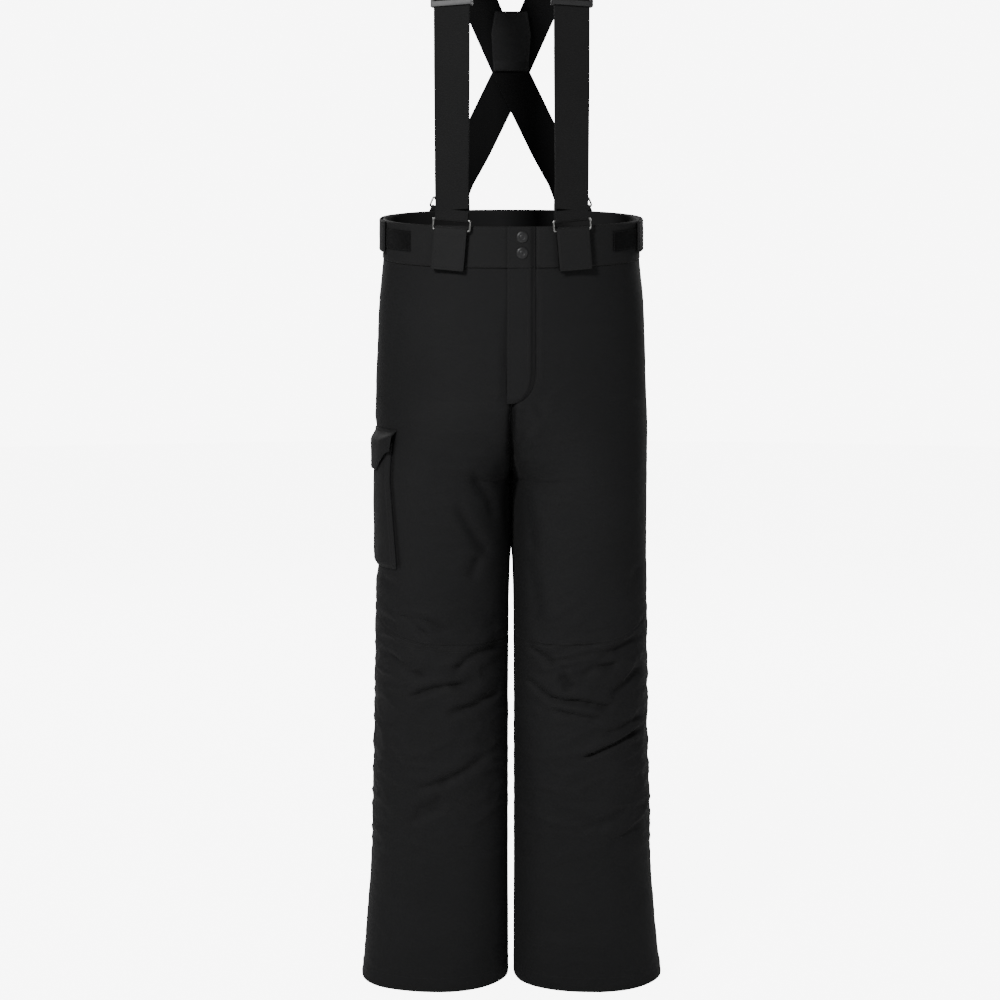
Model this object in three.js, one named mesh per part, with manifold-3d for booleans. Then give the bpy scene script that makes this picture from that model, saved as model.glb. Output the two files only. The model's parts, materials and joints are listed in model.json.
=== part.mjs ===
// Ski pants with detachable X-back suspenders, modelled in the shape they take when worn.
// Millimetres, +Z up, the front of the pants faces -Y. The origin is the centre of the waist opening.
// "right" and "left" are the wearer's: the wearer's right leg is on the -X side.
import * as THREE from "three";
import { mergeVertices } from "three/addons/utils/BufferGeometryUtils.js";
import Module from "manifold-3d";

const wasm = await Module();
wasm.setup();

// ---------- driving dimensions ----------
const HEM_Z = -1037; // outseam from waist rim to hem
const CROTCH_Z = -345;
const SPLIT_Z = -240; // above this the two legs are one round section
const RIM_Z = -1; // waist rim at the sides
const BAND_Z = -54; // lower edge of the waistband at the sides
const RIM_SLOPE = 0.13; // the rim and waistband rise towards the back
const SHELL_T = 4; // shell fabric with its insulation
const SEAM = 0.25; // half of the gap between two panels
const FLY_X = 30; // fold line of the fly flap
const FLY_EDGE = -6; // free edge of the fly flap
const FLY_BOTTOM = -242;
const STRAP_T = 1.6; // elastic webbing
const RING_ROD = 1.4; // radius of the ring's wire
const RING_HALF = 24.6; // half of the ring's width, to the wire's centre
const RING_H = 13.5; // between the centres of the ring's two bars
const TAB_W = 44.2;
const N_SUPER = 2.25; // exponent of the cross-sections

// ---------- tables, each [z, value] from top to bottom ----------
const OUTER_X = [[20, 169], [0, 169.5], [-51, 170.3], [-73, 172.4], [-110, 176.1], [-177, 179.3], [-244, 181.8],
  [-298, 183.2], [-407, 183.2], [-517, 183], [-573, 183.5], [-628, 185], [-684, 186.6], [-740, 188], [-797, 189.8],
  [-868, 192.4], [-939, 197.4], [-982, 201], [-1011, 204], [-1037, 207]];
const INNER_X = [[-345, 0.3], [-440, 0.3], [-462, 1.4], [-517, 3], [-573, 3.5], [-628, 4], [-868, 4], [-982, 3.5], [-1037, 3.5]];
const FRONT_B = [[20, 120], [-240, 120], [-300, 116], [-345, 111], [-420, 103], [-500, 97], [-560, 95], [-640, 92],
  [-700, 89], [-800, 87], [-900, 88], [-1037, 90]];
const BACK_B = [[20, 112], [0, 113], [-54, 118], [-100, 127], [-160, 138], [-230, 144], [-290, 140], [-345, 129],
  [-420, 110], [-500, 96], [-560, 91], [-640, 90], [-740, 90], [-900, 90], [-1037, 91]];

function lerpTable(t, z) {
  // monotone cubic between the rows of a table
  const n = t.length;
  if (z >= t[0][0]) return t[0][1];
  if (z <= t[n - 1][0]) return t[n - 1][1];
  let i = 0;
  while (z < t[i + 1][0]) i++;
  const d = (k) => (t[k + 1][1] - t[k][1]) / (t[k + 1][0] - t[k][0]);
  const tan = (k) => {
    if (k <= 0) return d(0);
    if (k >= n - 1) return d(n - 2);
    const a = d(k - 1), b = d(k);
    return a * b <= 0 ? 0 : (2 * a * b) / (a + b);
  };
  const h = t[i + 1][0] - t[i][0], s = (z - t[i][0]) / h;
  const s2 = s * s, s3 = s2 * s;
  return (2 * s3 - 3 * s2 + 1) * t[i][1] + (s3 - 2 * s2 + s) * h * tan(i) + (-2 * s3 + 3 * s2) * t[i + 1][1] + (s3 - s2) * h * tan(i + 1);
}
const smooth = (a, b, x) => {
  const s = Math.min(1, Math.max(0, (x - a) / (b - a))); // b may lie below a
  return s * s * (3 - 2 * s);
};

// ---------- the body surface ----------
function section(z, side = 1) {
  let xo = lerpTable(OUTER_X, z);
  if (side < 0) xo -= 3 * smooth(-262, -288, z) * (1 - smooth(-466, -492, z)); // drawn in under the pocket
  let r = 0, a, cx;
  if (z <= CROTCH_Z) {
    const xi = lerpTable(INNER_X, z);
    a = (xo - xi) / 2;
    cx = (xo + xi) / 2;
  } else {
    r = Math.max(0, Math.min(1, (SPLIT_Z - z) / (SPLIT_Z - CROTCH_Z)));
    a = xo / (1 + r);
    cx = r * a;
  }
  return { a, cx };
}
const pw = (v, e) => Math.sign(v) * Math.pow(Math.abs(v), e);
// A point of the surface of one leg or hip half. psi is 0 at the outseam, positive towards the front, negative towards the back.
function surf(side, psi, z) {
  const { a, cx } = section(z, side);
  const b = psi >= 0 ? lerpTable(FRONT_B, z) : lerpTable(BACK_B, z);
  const x = side * (cx + a * pw(Math.cos(psi), 2 / N_SUPER));
  const y = -b * pw(Math.sin(psi), 2 / N_SUPER);
  const w = smooth(-250, -70, z);
  return new THREE.Vector3(x, y, z + RIM_SLOPE * y * w);
}
function normal(side, psi, z) {
  // points on the two sides, taken on the same half so that the outseam stays smooth
  const e = 2e-2, g = psi >= 0 ? 1 : -1;
  const p0 = surf(side, Math.abs(psi) < e ? g * 1e-4 : psi - e, z), p1 = surf(side, Math.abs(psi) < e ? g * e : psi + e, z);
  const q0 = surf(side, psi, z - 2), q1 = surf(side, psi, z + 2);
  let tu = p1.sub(p0);
  if (Math.abs(psi) < e) tu = new THREE.Vector3(0, -1, 0);
  if (Math.abs(Math.abs(psi) - Math.PI) < e) tu = new THREE.Vector3(0, 1, 0);
  const n = tu.cross(q1.sub(q0)).normalize();
  return n.multiplyScalar(-side);
}
function off(side, psi, z, d) {
  const p = surf(side, psi, z), n = normal(side, psi, z);
  return p.addScaledVector(n, d);
}
// psi where the section is cut at |x| = xcut
function psiAtX(z, xcut, back, side = 1) {
  const { a, cx } = section(z, side);
  const q = Math.max(-1, Math.min(1, (xcut - cx) / a));
  const c = pw(q, N_SUPER / 2);
  return (back ? -1 : 1) * Math.acos(c);
}
function psiAtY(z, y) {
  const b = y <= 0 ? lerpTable(FRONT_B, z) : lerpTable(BACK_B, z);
  return -Math.sign(y) * Math.asin(Math.pow(Math.min(1, Math.abs(y) / b), N_SUPER / 2));
}

// ---------- mesh helpers ----------
// A closed solid between an outer and an inner sheet of (nu+1) x (nv+1) points; closed round u if wrap is set.
function gridSolid(nu, nv, outer, inner, wrap = false) {
  const pos = [], idx = [], cu = wrap ? nu : nu + 1;
  for (const f of [outer, inner])
    for (let j = 0; j <= nv; j++) for (let i = 0; i < cu; i++) pos.push(...f(i, j).toArray());
  const N = cu * (nv + 1), id = (s, i, j) => s * N + j * cu + (wrap ? i % nu : i);
  const quad = (a, b, c, d) => idx.push(a, b, c, a, c, d);
  for (let j = 0; j < nv; j++)
    for (let i = 0; i < nu; i++) {
      quad(id(0, i, j), id(0, i + 1, j), id(0, i + 1, j + 1), id(0, i, j + 1));
      quad(id(1, i, j), id(1, i, j + 1), id(1, i + 1, j + 1), id(1, i + 1, j));
    }
  for (let i = 0; i < nu; i++) {
    quad(id(0, i, 0), id(1, i, 0), id(1, i + 1, 0), id(0, i + 1, 0));
    quad(id(0, i, nv), id(0, i + 1, nv), id(1, i + 1, nv), id(1, i, nv));
  }
  if (!wrap)
    for (let j = 0; j < nv; j++) {
      quad(id(0, 0, j), id(0, 0, j + 1), id(1, 0, j + 1), id(1, 0, j));
      quad(id(0, nu, j), id(1, nu, j), id(1, nu, j + 1), id(0, nu, j + 1));
    }
  return outward(makeGeometry(pos, idx));
}
function makeGeometry(pos, idx) {
  return new THREE.BufferGeometry().setAttribute("position", new THREE.BufferAttribute(new Float32Array(pos), 3)).setIndex(idx);
}
function signedVolume(g) {
  const p = g.getAttribute("position"), ix = g.index.array;
  const a = new THREE.Vector3(), b = new THREE.Vector3(), c = new THREE.Vector3();
  let v = 0;
  for (let i = 0; i < ix.length; i += 3) {
    a.fromBufferAttribute(p, ix[i]);
    b.fromBufferAttribute(p, ix[i + 1]);
    c.fromBufferAttribute(p, ix[i + 2]);
    v += a.dot(b.cross(c)) / 6;
  }
  return v;
}
function outward(g) {
  if (signedVolume(g) < 0) {
    const ix = Array.from(g.index.array);
    for (let i = 0; i < ix.length; i += 3) [ix[i + 1], ix[i + 2]] = [ix[i + 2], ix[i + 1]];
    g.setIndex(ix);
  }
  return g;
}
// A flat ribbon along stations {p: centre, w: width direction, h: half width}, of thickness t.
function ribbon(st, t) {
  const T = st.map((_, i) => {
    const a = st[Math.max(0, i - 1)].p, b = st[Math.min(st.length - 1, i + 1)].p;
    return b.clone().sub(a).normalize();
  });
  const at = (i, j, s) => {
    const w = st[i].w.clone().addScaledVector(T[i], -st[i].w.dot(T[i])).normalize();
    const n = T[i].clone().cross(w).normalize();
    return st[i].p.clone().addScaledVector(w, (j ? 1 : -1) * st[i].h).addScaledVector(n, (s * t) / 2);
  };
  return gridSolid(st.length - 1, 1, (i, j) => at(i, j, 1), (i, j) => at(i, j, -1));
}
// A round wire swept along a closed loop of points.
function wireLoop(pts, r, sides) {
  const n = pts.length, pos = [], idx = [];
  const centre = pts.reduce((a, p) => a.add(p), new THREE.Vector3()).divideScalar(n);
  const plane = pts[0].clone().sub(centre).cross(pts[Math.floor(n / 3)].clone().sub(centre)).normalize();
  for (let i = 0; i < n; i++) {
    const t = pts[(i + 1) % n].clone().sub(pts[(i - 1 + n) % n]).normalize(), side = t.clone().cross(plane).normalize();
    for (let k = 0; k < sides; k++) {
      const q = (2 * Math.PI * k) / sides;
      pos.push(...pts[i].clone().addScaledVector(side, r * Math.cos(q)).addScaledVector(plane, r * Math.sin(q)).toArray());
    }
  }
  for (let i = 0; i < n; i++)
    for (let k = 0; k < sides; k++) {
      const a = i * sides + k, b = i * sides + ((k + 1) % sides), c = ((i + 1) % n) * sides + ((k + 1) % sides), d = ((i + 1) % n) * sides + k;
      idx.push(a, b, c, a, c, d);
    }
  return outward(makeGeometry(pos, idx));
}
function toSolid(g) {
  let q = g.index ? g.toNonIndexed() : g.clone();
  q = new THREE.BufferGeometry().setAttribute("position", q.getAttribute("position"));
  const m = mergeVertices(q, 1e-4);
  return new wasm.Manifold(new wasm.Mesh({ numProp: 3, vertProperties: m.attributes.position.array, triVerts: new Uint32Array(m.index.array) }));
}
function fromSolid(s) {
  const m = s.getMesh(), v = [];
  for (let i = 0; i < m.numVert; i++) for (let k = 0; k < 3; k++) v.push(m.vertProperties[i * m.numProp + k]);
  return makeGeometry(v, Array.from(m.triVerts));
}
const unite = (...gs) => fromSolid(gs.map(toSolid).reduce((a, b) => a.add(b)));
const cut = (g, ...tools) => fromSolid(tools.map(toSolid).reduce((a, b) => a.subtract(b), toSolid(g)));
// A box given by its ranges in a local frame {O, w, n, u}.
function frameMatrix(f) {
  return new THREE.Matrix4().makeBasis(f.w, f.n, f.u).setPosition(f.O);
}
function boxIn(f, w0, w1, n0, n1, u0, u1) {
  const g = new THREE.BoxGeometry(w1 - w0, n1 - n0, u1 - u0);
  g.translate((w0 + w1) / 2, (n0 + n1) / 2, (u0 + u1) / 2);
  return outward(mergeVertices(strip(g), 1e-5).applyMatrix4(frameMatrix(f)));
}
function strip(g) {
  g.deleteAttribute("normal");
  g.deleteAttribute("uv");
  return g;
}
// A round piece turned about the local n axis; profile is [radius, n] pairs.
function turnedIn(f, profile, segments = 18) {
  const g = new THREE.LatheGeometry(profile.map(([r, h]) => new THREE.Vector2(r, h)), segments); // about local Y
  return outward(mergeVertices(strip(g), 1e-5).applyMatrix4(frameMatrix(f)));
}

// ---------- materials ----------
const mat = (hex, roughness, metalness = 0) => new THREE.MeshStandardMaterial({ color: hex, roughness, metalness });
const SHELL = mat(0x232323, 0.62), LINING = mat(0x141414, 0.5), WEBBING = mat(0x242424, 0.85), LOOPTAPE = mat(0x101010, 0.95),
  METAL = mat(0x8a8a88, 0.3, 0.9), GUNMETAL = mat(0x6b6b6a, 0.4, 0.6), SNAP = mat(0x3b3b3b, 0.45, 0.2), ZIP = mat(0x161616, 0.55), ELASTIC = mat(0x1b1b1b, 0.9), PATCH = mat(0x2a2a2a, 0.55);
const root = new THREE.Group();
function add(name, geometry, material) {
  const m = new THREE.Mesh(geometry, material);
  m.name = name;
  root.add(m);
  return m;
}

// ---------- shell panels and linings ----------
const COLS = 10;
const THIGH_ROWS = [-54.4, -95, -140, -190, -212, -226, -236, -243, -265, -300, -325, -337, -342, -344.4, -345.2, -370, -420, -466, -492];
// the outer half of the columns changes slowly with height; the inner half takes up the crotch curve
const psiBase = (z) => (Math.PI / 2) * (1 + smooth(-240, -430, z));
const LOWER_ROWS = [-640, -740, -840, -940, HEM_Z];
const KNEE_OUT = -513, KNEE_IN = -562;
const kneeSeam = (psi) => {
  const t = Math.min(1, Math.abs(psi) / (0.55 * Math.PI));
  return KNEE_OUT + (KNEE_IN - KNEE_OUT) * (1 - (1 - t) * (1 - t));
};
const PSI0 = 0.0016; // leaves the seam gap at the outseam and inseam
const flyCurve = (z) => (z > -200 ? 1 : z < FLY_BOTTOM ? 0 : Math.sqrt(Math.max(0, 1 - ((-200 - z) / (-200 - FLY_BOTTOM)) ** 2)));
function psiEnd(side, z, back, lining) {
  if (z <= CROTCH_Z) return (back ? -1 : 1) * (Math.PI - PSI0);
  let x = SEAM;
  if (!back && z > FLY_BOTTOM - 1) {
    if (lining) x = 34;
    else if (side > 0) x = Math.max(SEAM, (FLY_X + 1.2) * flyCurve(z));
    else x = 0.7;
  }
  if (lining && !back && z <= FLY_BOTTOM - 1) x = SEAM + 0.5;
  const e = psiAtX(z, x, back, side), lim = Math.PI - PSI0;
  return Math.abs(e) > lim ? Math.sign(e) * lim : e;
}
// rows: list of z, or of functions of psi
function panel(side, back, rows, o0, o1, lining = false) {
  const nv = rows.length - 1;
  const zAt = (row, psi) => (typeof row === "function" ? row(psi) : row);
  const point = (i, j, d) => {
    const row = rows[j];
    let zr = zAt(row, (Math.PI / 2) * (back ? -1 : 1));
    let end = psiEnd(side, zr, back, lining), start = (back ? -1 : 1) * PSI0;
    const sg = back ? -1 : 1, half = psiBase(zr) / 2, t = i / COLS;
    const psi = t <= 0.5 ? start + (sg * half - start) * (t / 0.5) : sg * half + (end - sg * half) * ((t - 0.5) / 0.5);
    const z = zAt(row, psi);
    const p = off(side, psi, z, d);
    if (z <= HEM_Z + 0.01) p.z = HEM_Z;
    return p;
  };
  return gridSolid(COLS, nv, (i, j) => point(i, j, o0), (i, j) => point(i, j, o1));
}
for (const [side, name] of [[-1, "right"], [1, "left"]]) {
  add(`front_thigh_panel_${name}`, panel(side, false, [...THIGH_ROWS, (p) => kneeSeam(p) + 0.3], 0, -SHELL_T), SHELL);
  add(`front_lower_panel_${name}`, panel(side, false, [(p) => kneeSeam(p) - 0.3, ...LOWER_ROWS], 0, -SHELL_T), SHELL);
  add(`back_panel_${name}`, panel(side, true, [...THIGH_ROWS, -560, ...LOWER_ROWS], 0, -SHELL_T), SHELL);
  add(`lining_front_${name}`, panel(side, false, [...THIGH_ROWS.map((z) => (z > -55 ? -56.5 : z)), kneeSeam, -640, -740, -840, -880], -5, -6, true), LINING);
  add(`lining_back_${name}`, panel(side, true, [...THIGH_ROWS.map((z) => (z > -55 ? -56.5 : z)), -560, -640, -740, -840, -880], -5, -6, true), LINING);
  // boot gaiter: an elastic-hemmed sleeve that hangs inside the cuff
  const g0 = -862, g1 = -1004, NG = 14, GT = [0, 0.3, 0.6, 0.86, 1];
  const gaiter = (i, t, d) => {
    const q = (2 * Math.PI * i) / NG, z = g0 + (g1 - g0) * t, k = smooth(0, 1, t);
    const s = section(z), a = (s.a - 8.2) * (1 - k) + 66 * k, b = (lerpTable(FRONT_B, z) - 8.2) * (1 - k) + 64 * k;
    return new THREE.Vector3(side * (s.cx + (a + d) * Math.cos(q)), (b + d) * Math.sin(q), z);
  };
  add(`boot_gaiter_${name}`, gridSolid(NG, 4, (i, j) => gaiter(i, GT[j], 0), (i, j) => gaiter(i, GT[j], -1.2), true), LINING);
  const band = (i, j, d) => {
    const t = 0.86 + 0.14 * j, p = gaiter(i, t, 0), c = new THREE.Vector3(side * section(p.z).cx, 0, p.z);
    return p.add(p.clone().sub(c).normalize().multiplyScalar(d));
  };
  add(`gaiter_elastic_${name}`, gridSolid(NG, 1, (i, j) => band(i, j, 2.1), (i, j) => band(i, j, 0.6), true), ELASTIC);
}

// ---------- waistband ----------
// A strip of the waistband between two angles, counted on from the front centre; q runs over signed stations.
function bandPoint(x, back, z, d) {
  const side = x >= 0 ? 1 : -1;
  return off(side, psiAtX(z, Math.abs(x), back, side), z, d);
}
function sideStrip(side, psi0, psi1, z0, z1, d0, d1, n, rows = 2) {
  const at = (i, j, d) => off(side, psi0 + ((psi1 - psi0) * i) / n, z0 + ((z1 - z0) * j) / rows, d);
  return gridSolid(n, rows, (i, j) => at(i, j, d0), (i, j) => at(i, j, d1));
}
// The front half-band: from the side seam at psi 0 to an x past the front centre.
function frontBand(side, xEnd, d0, d1) {
  const z0 = RIM_Z, z1 = BAND_Z, stations = [];
  const a = psiAtX(-27, Math.max(0.001, side * xEnd > 0 ? side * xEnd : 0.001), false);
  for (let i = 0; i <= 9; i++) stations.push([side, PSI0 + ((a - PSI0) * i) / 9]);
  if (side * xEnd < 0) for (const k of [0.4, 1]) stations.push([-side, psiAtX(-27, Math.abs(xEnd) * k, false)]);
  const at = (i, j, d) => off(stations[i][0], stations[i][1], z0 + ((z1 - z0) * j) / 2, d);
  return gridSolid(stations.length - 1, 2, (i, j) => at(i, j, d0), (i, j) => at(i, j, d1));
}
// Snap positions on the front: both 13 mm to the wearer's left of centre.
const SNAP_X = 13, SNAP_Z = [-14.3, -34.4]; // waistband heights before the rim's slope; -30 and -50 on the front
function surfaceFrame(x, z, back, d) {
  const side = x >= 0 ? 1 : -1, psi = psiAtX(z, Math.abs(x), back);
  const n = normal(side, psi, z), O = off(side, psi, z, d);
  const u = new THREE.Vector3(0, 0, 1).addScaledVector(n, -n.z).normalize();
  return { O, n, u, w: n.clone().cross(u).normalize() };
}
const snapFrames = SNAP_Z.map((z) => surfaceFrame(SNAP_X, z, false, 0));
const hole = (f, r, n0, n1) => turnedIn(f, [[0, n0], [r, n0], [r, n1], [0, n1]], 16);
// The right half runs on under the flap as the underlap, and carries the studs.
add("waistband_front_right", cut(frontBand(-1, 21.5, 0.8, -3.8), ...snapFrames.map((f) => hole(f, 1.5, -8, 6))), SHELL);
// The left half stops at the fold of the flap.
add("waistband_front_left", frontBand(1, FLY_X + 0.6, 0.8, -3.8), SHELL);
{
  const st = [];
  for (let i = 0; i <= 9; i++) st.push([-1, -PSI0 + (-Math.PI / 2 + PSI0) * (i / 9)]);
  for (let i = 8; i >= 0; i--) st.push([1, -PSI0 + (-Math.PI / 2 + PSI0) * (i / 9)]);
  const at = (i, j, d) => off(st[i][0], st[i][1], RIM_Z + ((BAND_Z - RIM_Z) * j) / 2, d);
  add("waistband_back", gridSolid(st.length - 1, 2, (i, j) => at(i, j, 0.8), (i, j) => at(i, j, -3.8)), SHELL);
}
// Overlapping end of the waistband with its two snap caps, and the fly flap below it. Both turn about the fold line.
function flapStrip(zs, xFold, d0, d1, dFold0, dFold1) {
  const xs = (z) => [FLY_EDGE, 4, 14, 23.5, xFold(z)];
  const at = (i, j, which) => {
    const z = zs[j], row = xs(z).map((x) => Math.min(x, xFold(z))), t = i === 4 ? 1 : 0;
    const x = i < 4 ? Math.min(row[i], FLY_EDGE + ((xFold(z) - FLY_EDGE) * [0, 0.28, 0.56, 0.82][i])) : row[4];
    const d = which ? (t ? dFold1 : d1) : t ? dFold0 : d0;
    return bandPoint(x, false, z, d);
  };
  return gridSolid(4, zs.length - 1, (i, j) => at(i, j, 0), (i, j) => at(i, j, 1));
}
add("waistband_overlap", cut(flapStrip([RIM_Z, -27, BAND_Z], () => FLY_X, 5, 1.5, 0.8, -2.2), ...snapFrames.map((f) => hole(f, 3.5, -8, 9))), SHELL);
add("fly_flap", flapStrip([BAND_Z - 0.5, -100, -150, -200, -214, -226, -235, -241], (z) => Math.max(-2.5, -5 + 35 * flyCurve(z)), 3.6, 0.7, 0, -2.6), SHELL);
SNAP_Z.forEach((z, k) => {
  const f = snapFrames[k], tag = k ? "lower" : "upper";
  // cap outside with a hollow shank through the flap; the stud's knob sits in the shank
  add(`snap_cap_${tag}`, turnedIn(f, [[0, 7.4], [4.6, 7.2], [6.6, 6.6], [7.5, 5.9], [7.5, 5.4], [3.1, 5.4], [3.1, 1.35], [2.45, 1.35], [2.45, 4.2], [0, 4.2]]), SNAP);
  add(`snap_stud_${tag}`, turnedIn(f, [[0, 3.3], [1.7, 3.1], [1.9, 2.5], [1.2, 1.9], [1.2, -4.4], [0, -4.4]], 14), METAL);
  add(`snap_back_${tag}`, turnedIn(f, [[0, -4.8], [5.2, -4.8], [5.6, -5.2], [5.2, -5.9], [0, -6.1]], 16), METAL);
});

// ---------- fly zipper, behind the flap ----------
const ZIP_Y = -120 + 3.6, ZIP_X = 5, ZIP_TOP = -74, ZIP_LOW = -226;
function zipHalf(s) {
  // tape with a coil along its edge, as one profile run down the fly
  const sh = new THREE.Shape();
  const e = 0.6, bead = 1.4, wide = s > 0 ? 9.5 : 4.6;
  const P = [[e, 1], [e + bead, 1], [e + bead, 0.4], [wide, 0.4], [wide, -0.4], [e + bead, -0.4], [e + bead, -1], [e, -1]];
  P.forEach(([x, y], i) => (i ? sh.lineTo(ZIP_X + s * x, ZIP_Y + y) : sh.moveTo(ZIP_X + s * x, ZIP_Y + y)));
  sh.closePath();
  const g = new THREE.ExtrudeGeometry(sh, { depth: ZIP_TOP - ZIP_LOW, bevelEnabled: false });
  g.translate(0, 0, ZIP_LOW);
  return outward(mergeVertices(strip(g), 1e-5));
}
add("fly_zip_tape_right", zipHalf(-1), ZIP);
add("fly_zip_tape_left", zipHalf(1), ZIP);
{
  const f = { O: new THREE.Vector3(ZIP_X, ZIP_Y, ZIP_TOP - 7), w: new THREE.Vector3(1, 0, 0), n: new THREE.Vector3(0, -1, 0), u: new THREE.Vector3(0, 0, 1) };
  add("fly_zip_slider", unite(
    boxIn(f, -4.2, 4.2, 1.35, 2.3, -5.5, 5.5),
    boxIn(f, -4.2, 4.2, -2.3, -1.35, -5.5, 5.5),
    boxIn(f, -0.28, 0.28, -1.8, 1.8, -5, 5),
    boxIn(f, -0.8, 0.8, 2.2, 2.9, 2.2, 4.4),
    boxIn(f, -0.8, 0.8, 2.2, 2.9, -1.2, 0.4),
    boxIn(f, -0.8, 0.8, 3.75, 4.05, -1.2, 4.4),
    boxIn(f, -0.8, 0.8, 2.2, 4.05, 3.4, 4.4),
    boxIn(f, -0.8, 0.8, 2.2, 4.05, -1.2, -0.4)), GUNMETAL);
  // pull tab: a plate with an eye round the slider's bridge
  const plate = boxIn(f, -2.6, 2.6, 2.95, 3.55, -20, 3.2);
  add("fly_zip_pull", cut(plate, boxIn(f, -1.3, 1.3, 2, 5, -2.4, 1.8)), GUNMETAL);
  add("fly_zip_stop", boxIn({ ...f, O: new THREE.Vector3(ZIP_X, ZIP_Y, ZIP_LOW - 2.3) }, -3, 3, -1.2, 1.2, -1.8, 1.8), GUNMETAL);
}
// Fly shield: the inner facing behind the zipper, sewn to the right front.
{
  const zs = [BAND_Z - 2.5, -110, -170, -205, -232], x1 = (z) => 24 * Math.max(0.15, flyCurve(z + 4));
  const at = (i, j, d) => bandPoint(-18 + ((x1(zs[j]) + 18) * i) / 4, false, zs[j], d);
  add("fly_shield", gridSolid(4, zs.length - 1, (i, j) => at(i, j, -6.7), (i, j) => at(i, j, -8.1)), SHELL);
}

// ---------- side adjusters ----------
// The tab is sewn down at its rear end; its front end grips the loop tape, which runs on in front of it.
const SIDE_TAB = [-0.62, 0.33];
for (const [side, name] of [[-1, "right"], [1, "left"]]) {
  add(`loop_tape_${name}`, sideStrip(side, 0.02, 0.74, -10.5, -36.5, 2, 1.2, 8, 1), LOOPTAPE);
  const lift = (i, d) => d + [0, 0.9, 1.7, 2, 2, 2, 2, 2, 2][i];
  const at = (i, j, d) => off(side, SIDE_TAB[0] + ((SIDE_TAB[1] - SIDE_TAB[0]) * i) / 8, -1.5 - 41 * j, lift(i, d));
  add(`side_tab_${name}`, gridSolid(8, 1, (i, j) => at(i, j, 3.8), (i, j) => at(i, j, 1.3)), SHELL);
}

// ---------- suspender tabs, rings ----------
// Local frame of a tab: O on the lower bar of its ring, w along the bar, n away from the body, u up along the tab.
function tabFrame(x, zc, back, lean, tilt, dist) {
  const side = x >= 0 ? 1 : -1, psi = psiAtX(zc, Math.abs(x), back);
  const n = normal(side, psi, zc);
  n.z = 0;
  n.normalize();
  const u = new THREE.Vector3(0, 0, 1);
  let w = n.clone().cross(u).normalize();
  n.applyAxisAngle(w, tilt);
  u.applyAxisAngle(w, tilt);
  w.applyAxisAngle(n, lean);
  u.applyAxisAngle(n, lean);
  const p = surf(side, psi, zc).addScaledVector(n, dist);
  return { O: p, w, n, u };
}
const ringPoint = (f, w, u) => f.O.clone().addScaledVector(f.w, w).addScaledVector(f.u, u);
function ring(f) {
  const c = 2.4, pts = [], A = RING_HALF, H = RING_H;
  for (const [cw, cu, q0] of [[A - c, H - c, 0], [-A + c, H - c, 90], [-A + c, c, 180], [A - c, c, 270]])
    for (let k = 0; k <= 3; k++) {
      const q = ((q0 + 30 * k) * Math.PI) / 180;
      pts.push(ringPoint(f, cw + c * Math.cos(q), cu + c * Math.sin(q)));
    }
  const more = [];
  pts.forEach((p, i) => {
    more.push(p);
    const q = pts[(i + 1) % pts.length];
    if (p.distanceTo(q) > 12) for (const k of [0.5]) more.push(p.clone().lerp(q, k));
  });
  return wireLoop(more, RING_ROD, 8);
}
function tabPly(f, len) {
  // the hook over the bar and the outer ply that hangs from it, in the (n, u) plane
  const r0 = 1.75, r1 = 3.7, P = [];
  for (let k = 0; k <= 6; k++) P.push([r1 * Math.cos(Math.PI * (1 - k / 6)), r1 * Math.sin(Math.PI * (1 - k / 6))]);
  P.push([r1, -len], [r0, -len]);
  for (let k = 0; k <= 6; k++) P.push([r0 * Math.cos((Math.PI * k) / 6), r0 * Math.sin((Math.PI * k) / 6)]);
  const sh = new THREE.Shape(P.map(([a, b]) => new THREE.Vector2(a, b)));
  const g = new THREE.ExtrudeGeometry(sh, { depth: TAB_W, bevelEnabled: false }); // x = n, y = u, z = w
  g.translate(0, 0, -TAB_W / 2);
  const m = new THREE.Matrix4().makeBasis(f.n, f.u, f.w).setPosition(f.O);
  return outward(mergeVertices(strip(g), 1e-5).applyMatrix4(m));
}
const DIST = 5.0; // bar centre from the body surface
const DEG = Math.PI / 180;
const tabs = {
  front_right: tabFrame(-76, -6.6, false, 0, 0, DIST),
  front_left: tabFrame(76, -6.6, false, 0, 0, DIST),
  back_right: tabFrame(-89, -4, true, 0, 0, DIST),
  back_left: tabFrame(89, -4, true, 0, 0, DIST),
};
// lean of each tab, outward at its lower end, and tilt of the back ones to follow the seat
for (const [k, f] of Object.entries(tabs)) {
  const sgn = k.endsWith("right") ? -1 : 1, back = k.startsWith("back");
  if (back) {
    const before = f.u.clone();
    f.n.applyAxisAngle(f.w, 0.085);
    f.u.applyAxisAngle(f.w, 0.085);
    if (f.u.dot(f.n) > 1e-6 || f.n.z < 0) {
      f.n.applyAxisAngle(f.w, -0.17);
      f.u.copy(before).applyAxisAngle(f.w, -0.085);
    }
  }
  const lean = (back ? 22 : 5) * DEG;
  for (const q of [lean, -lean]) {
    const u = f.u.clone().applyAxisAngle(f.n, q);
    if (Math.sign(u.x) === -sgn) {
      f.w.applyAxisAngle(f.n, q);
      f.u.copy(u);
      break;
    }
  }
  add(`ring_${k}`, ring(f), METAL);
  const len = back ? 48 : 51;
  add(`tab_${k}`, tabPly(f, len), SHELL);
  add(`tab_base_${k}`, boxIn(f, -TAB_W / 2, TAB_W / 2, -DIST + 1.6, 1.35, -len + 1, -4.4), SHELL);
}

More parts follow.
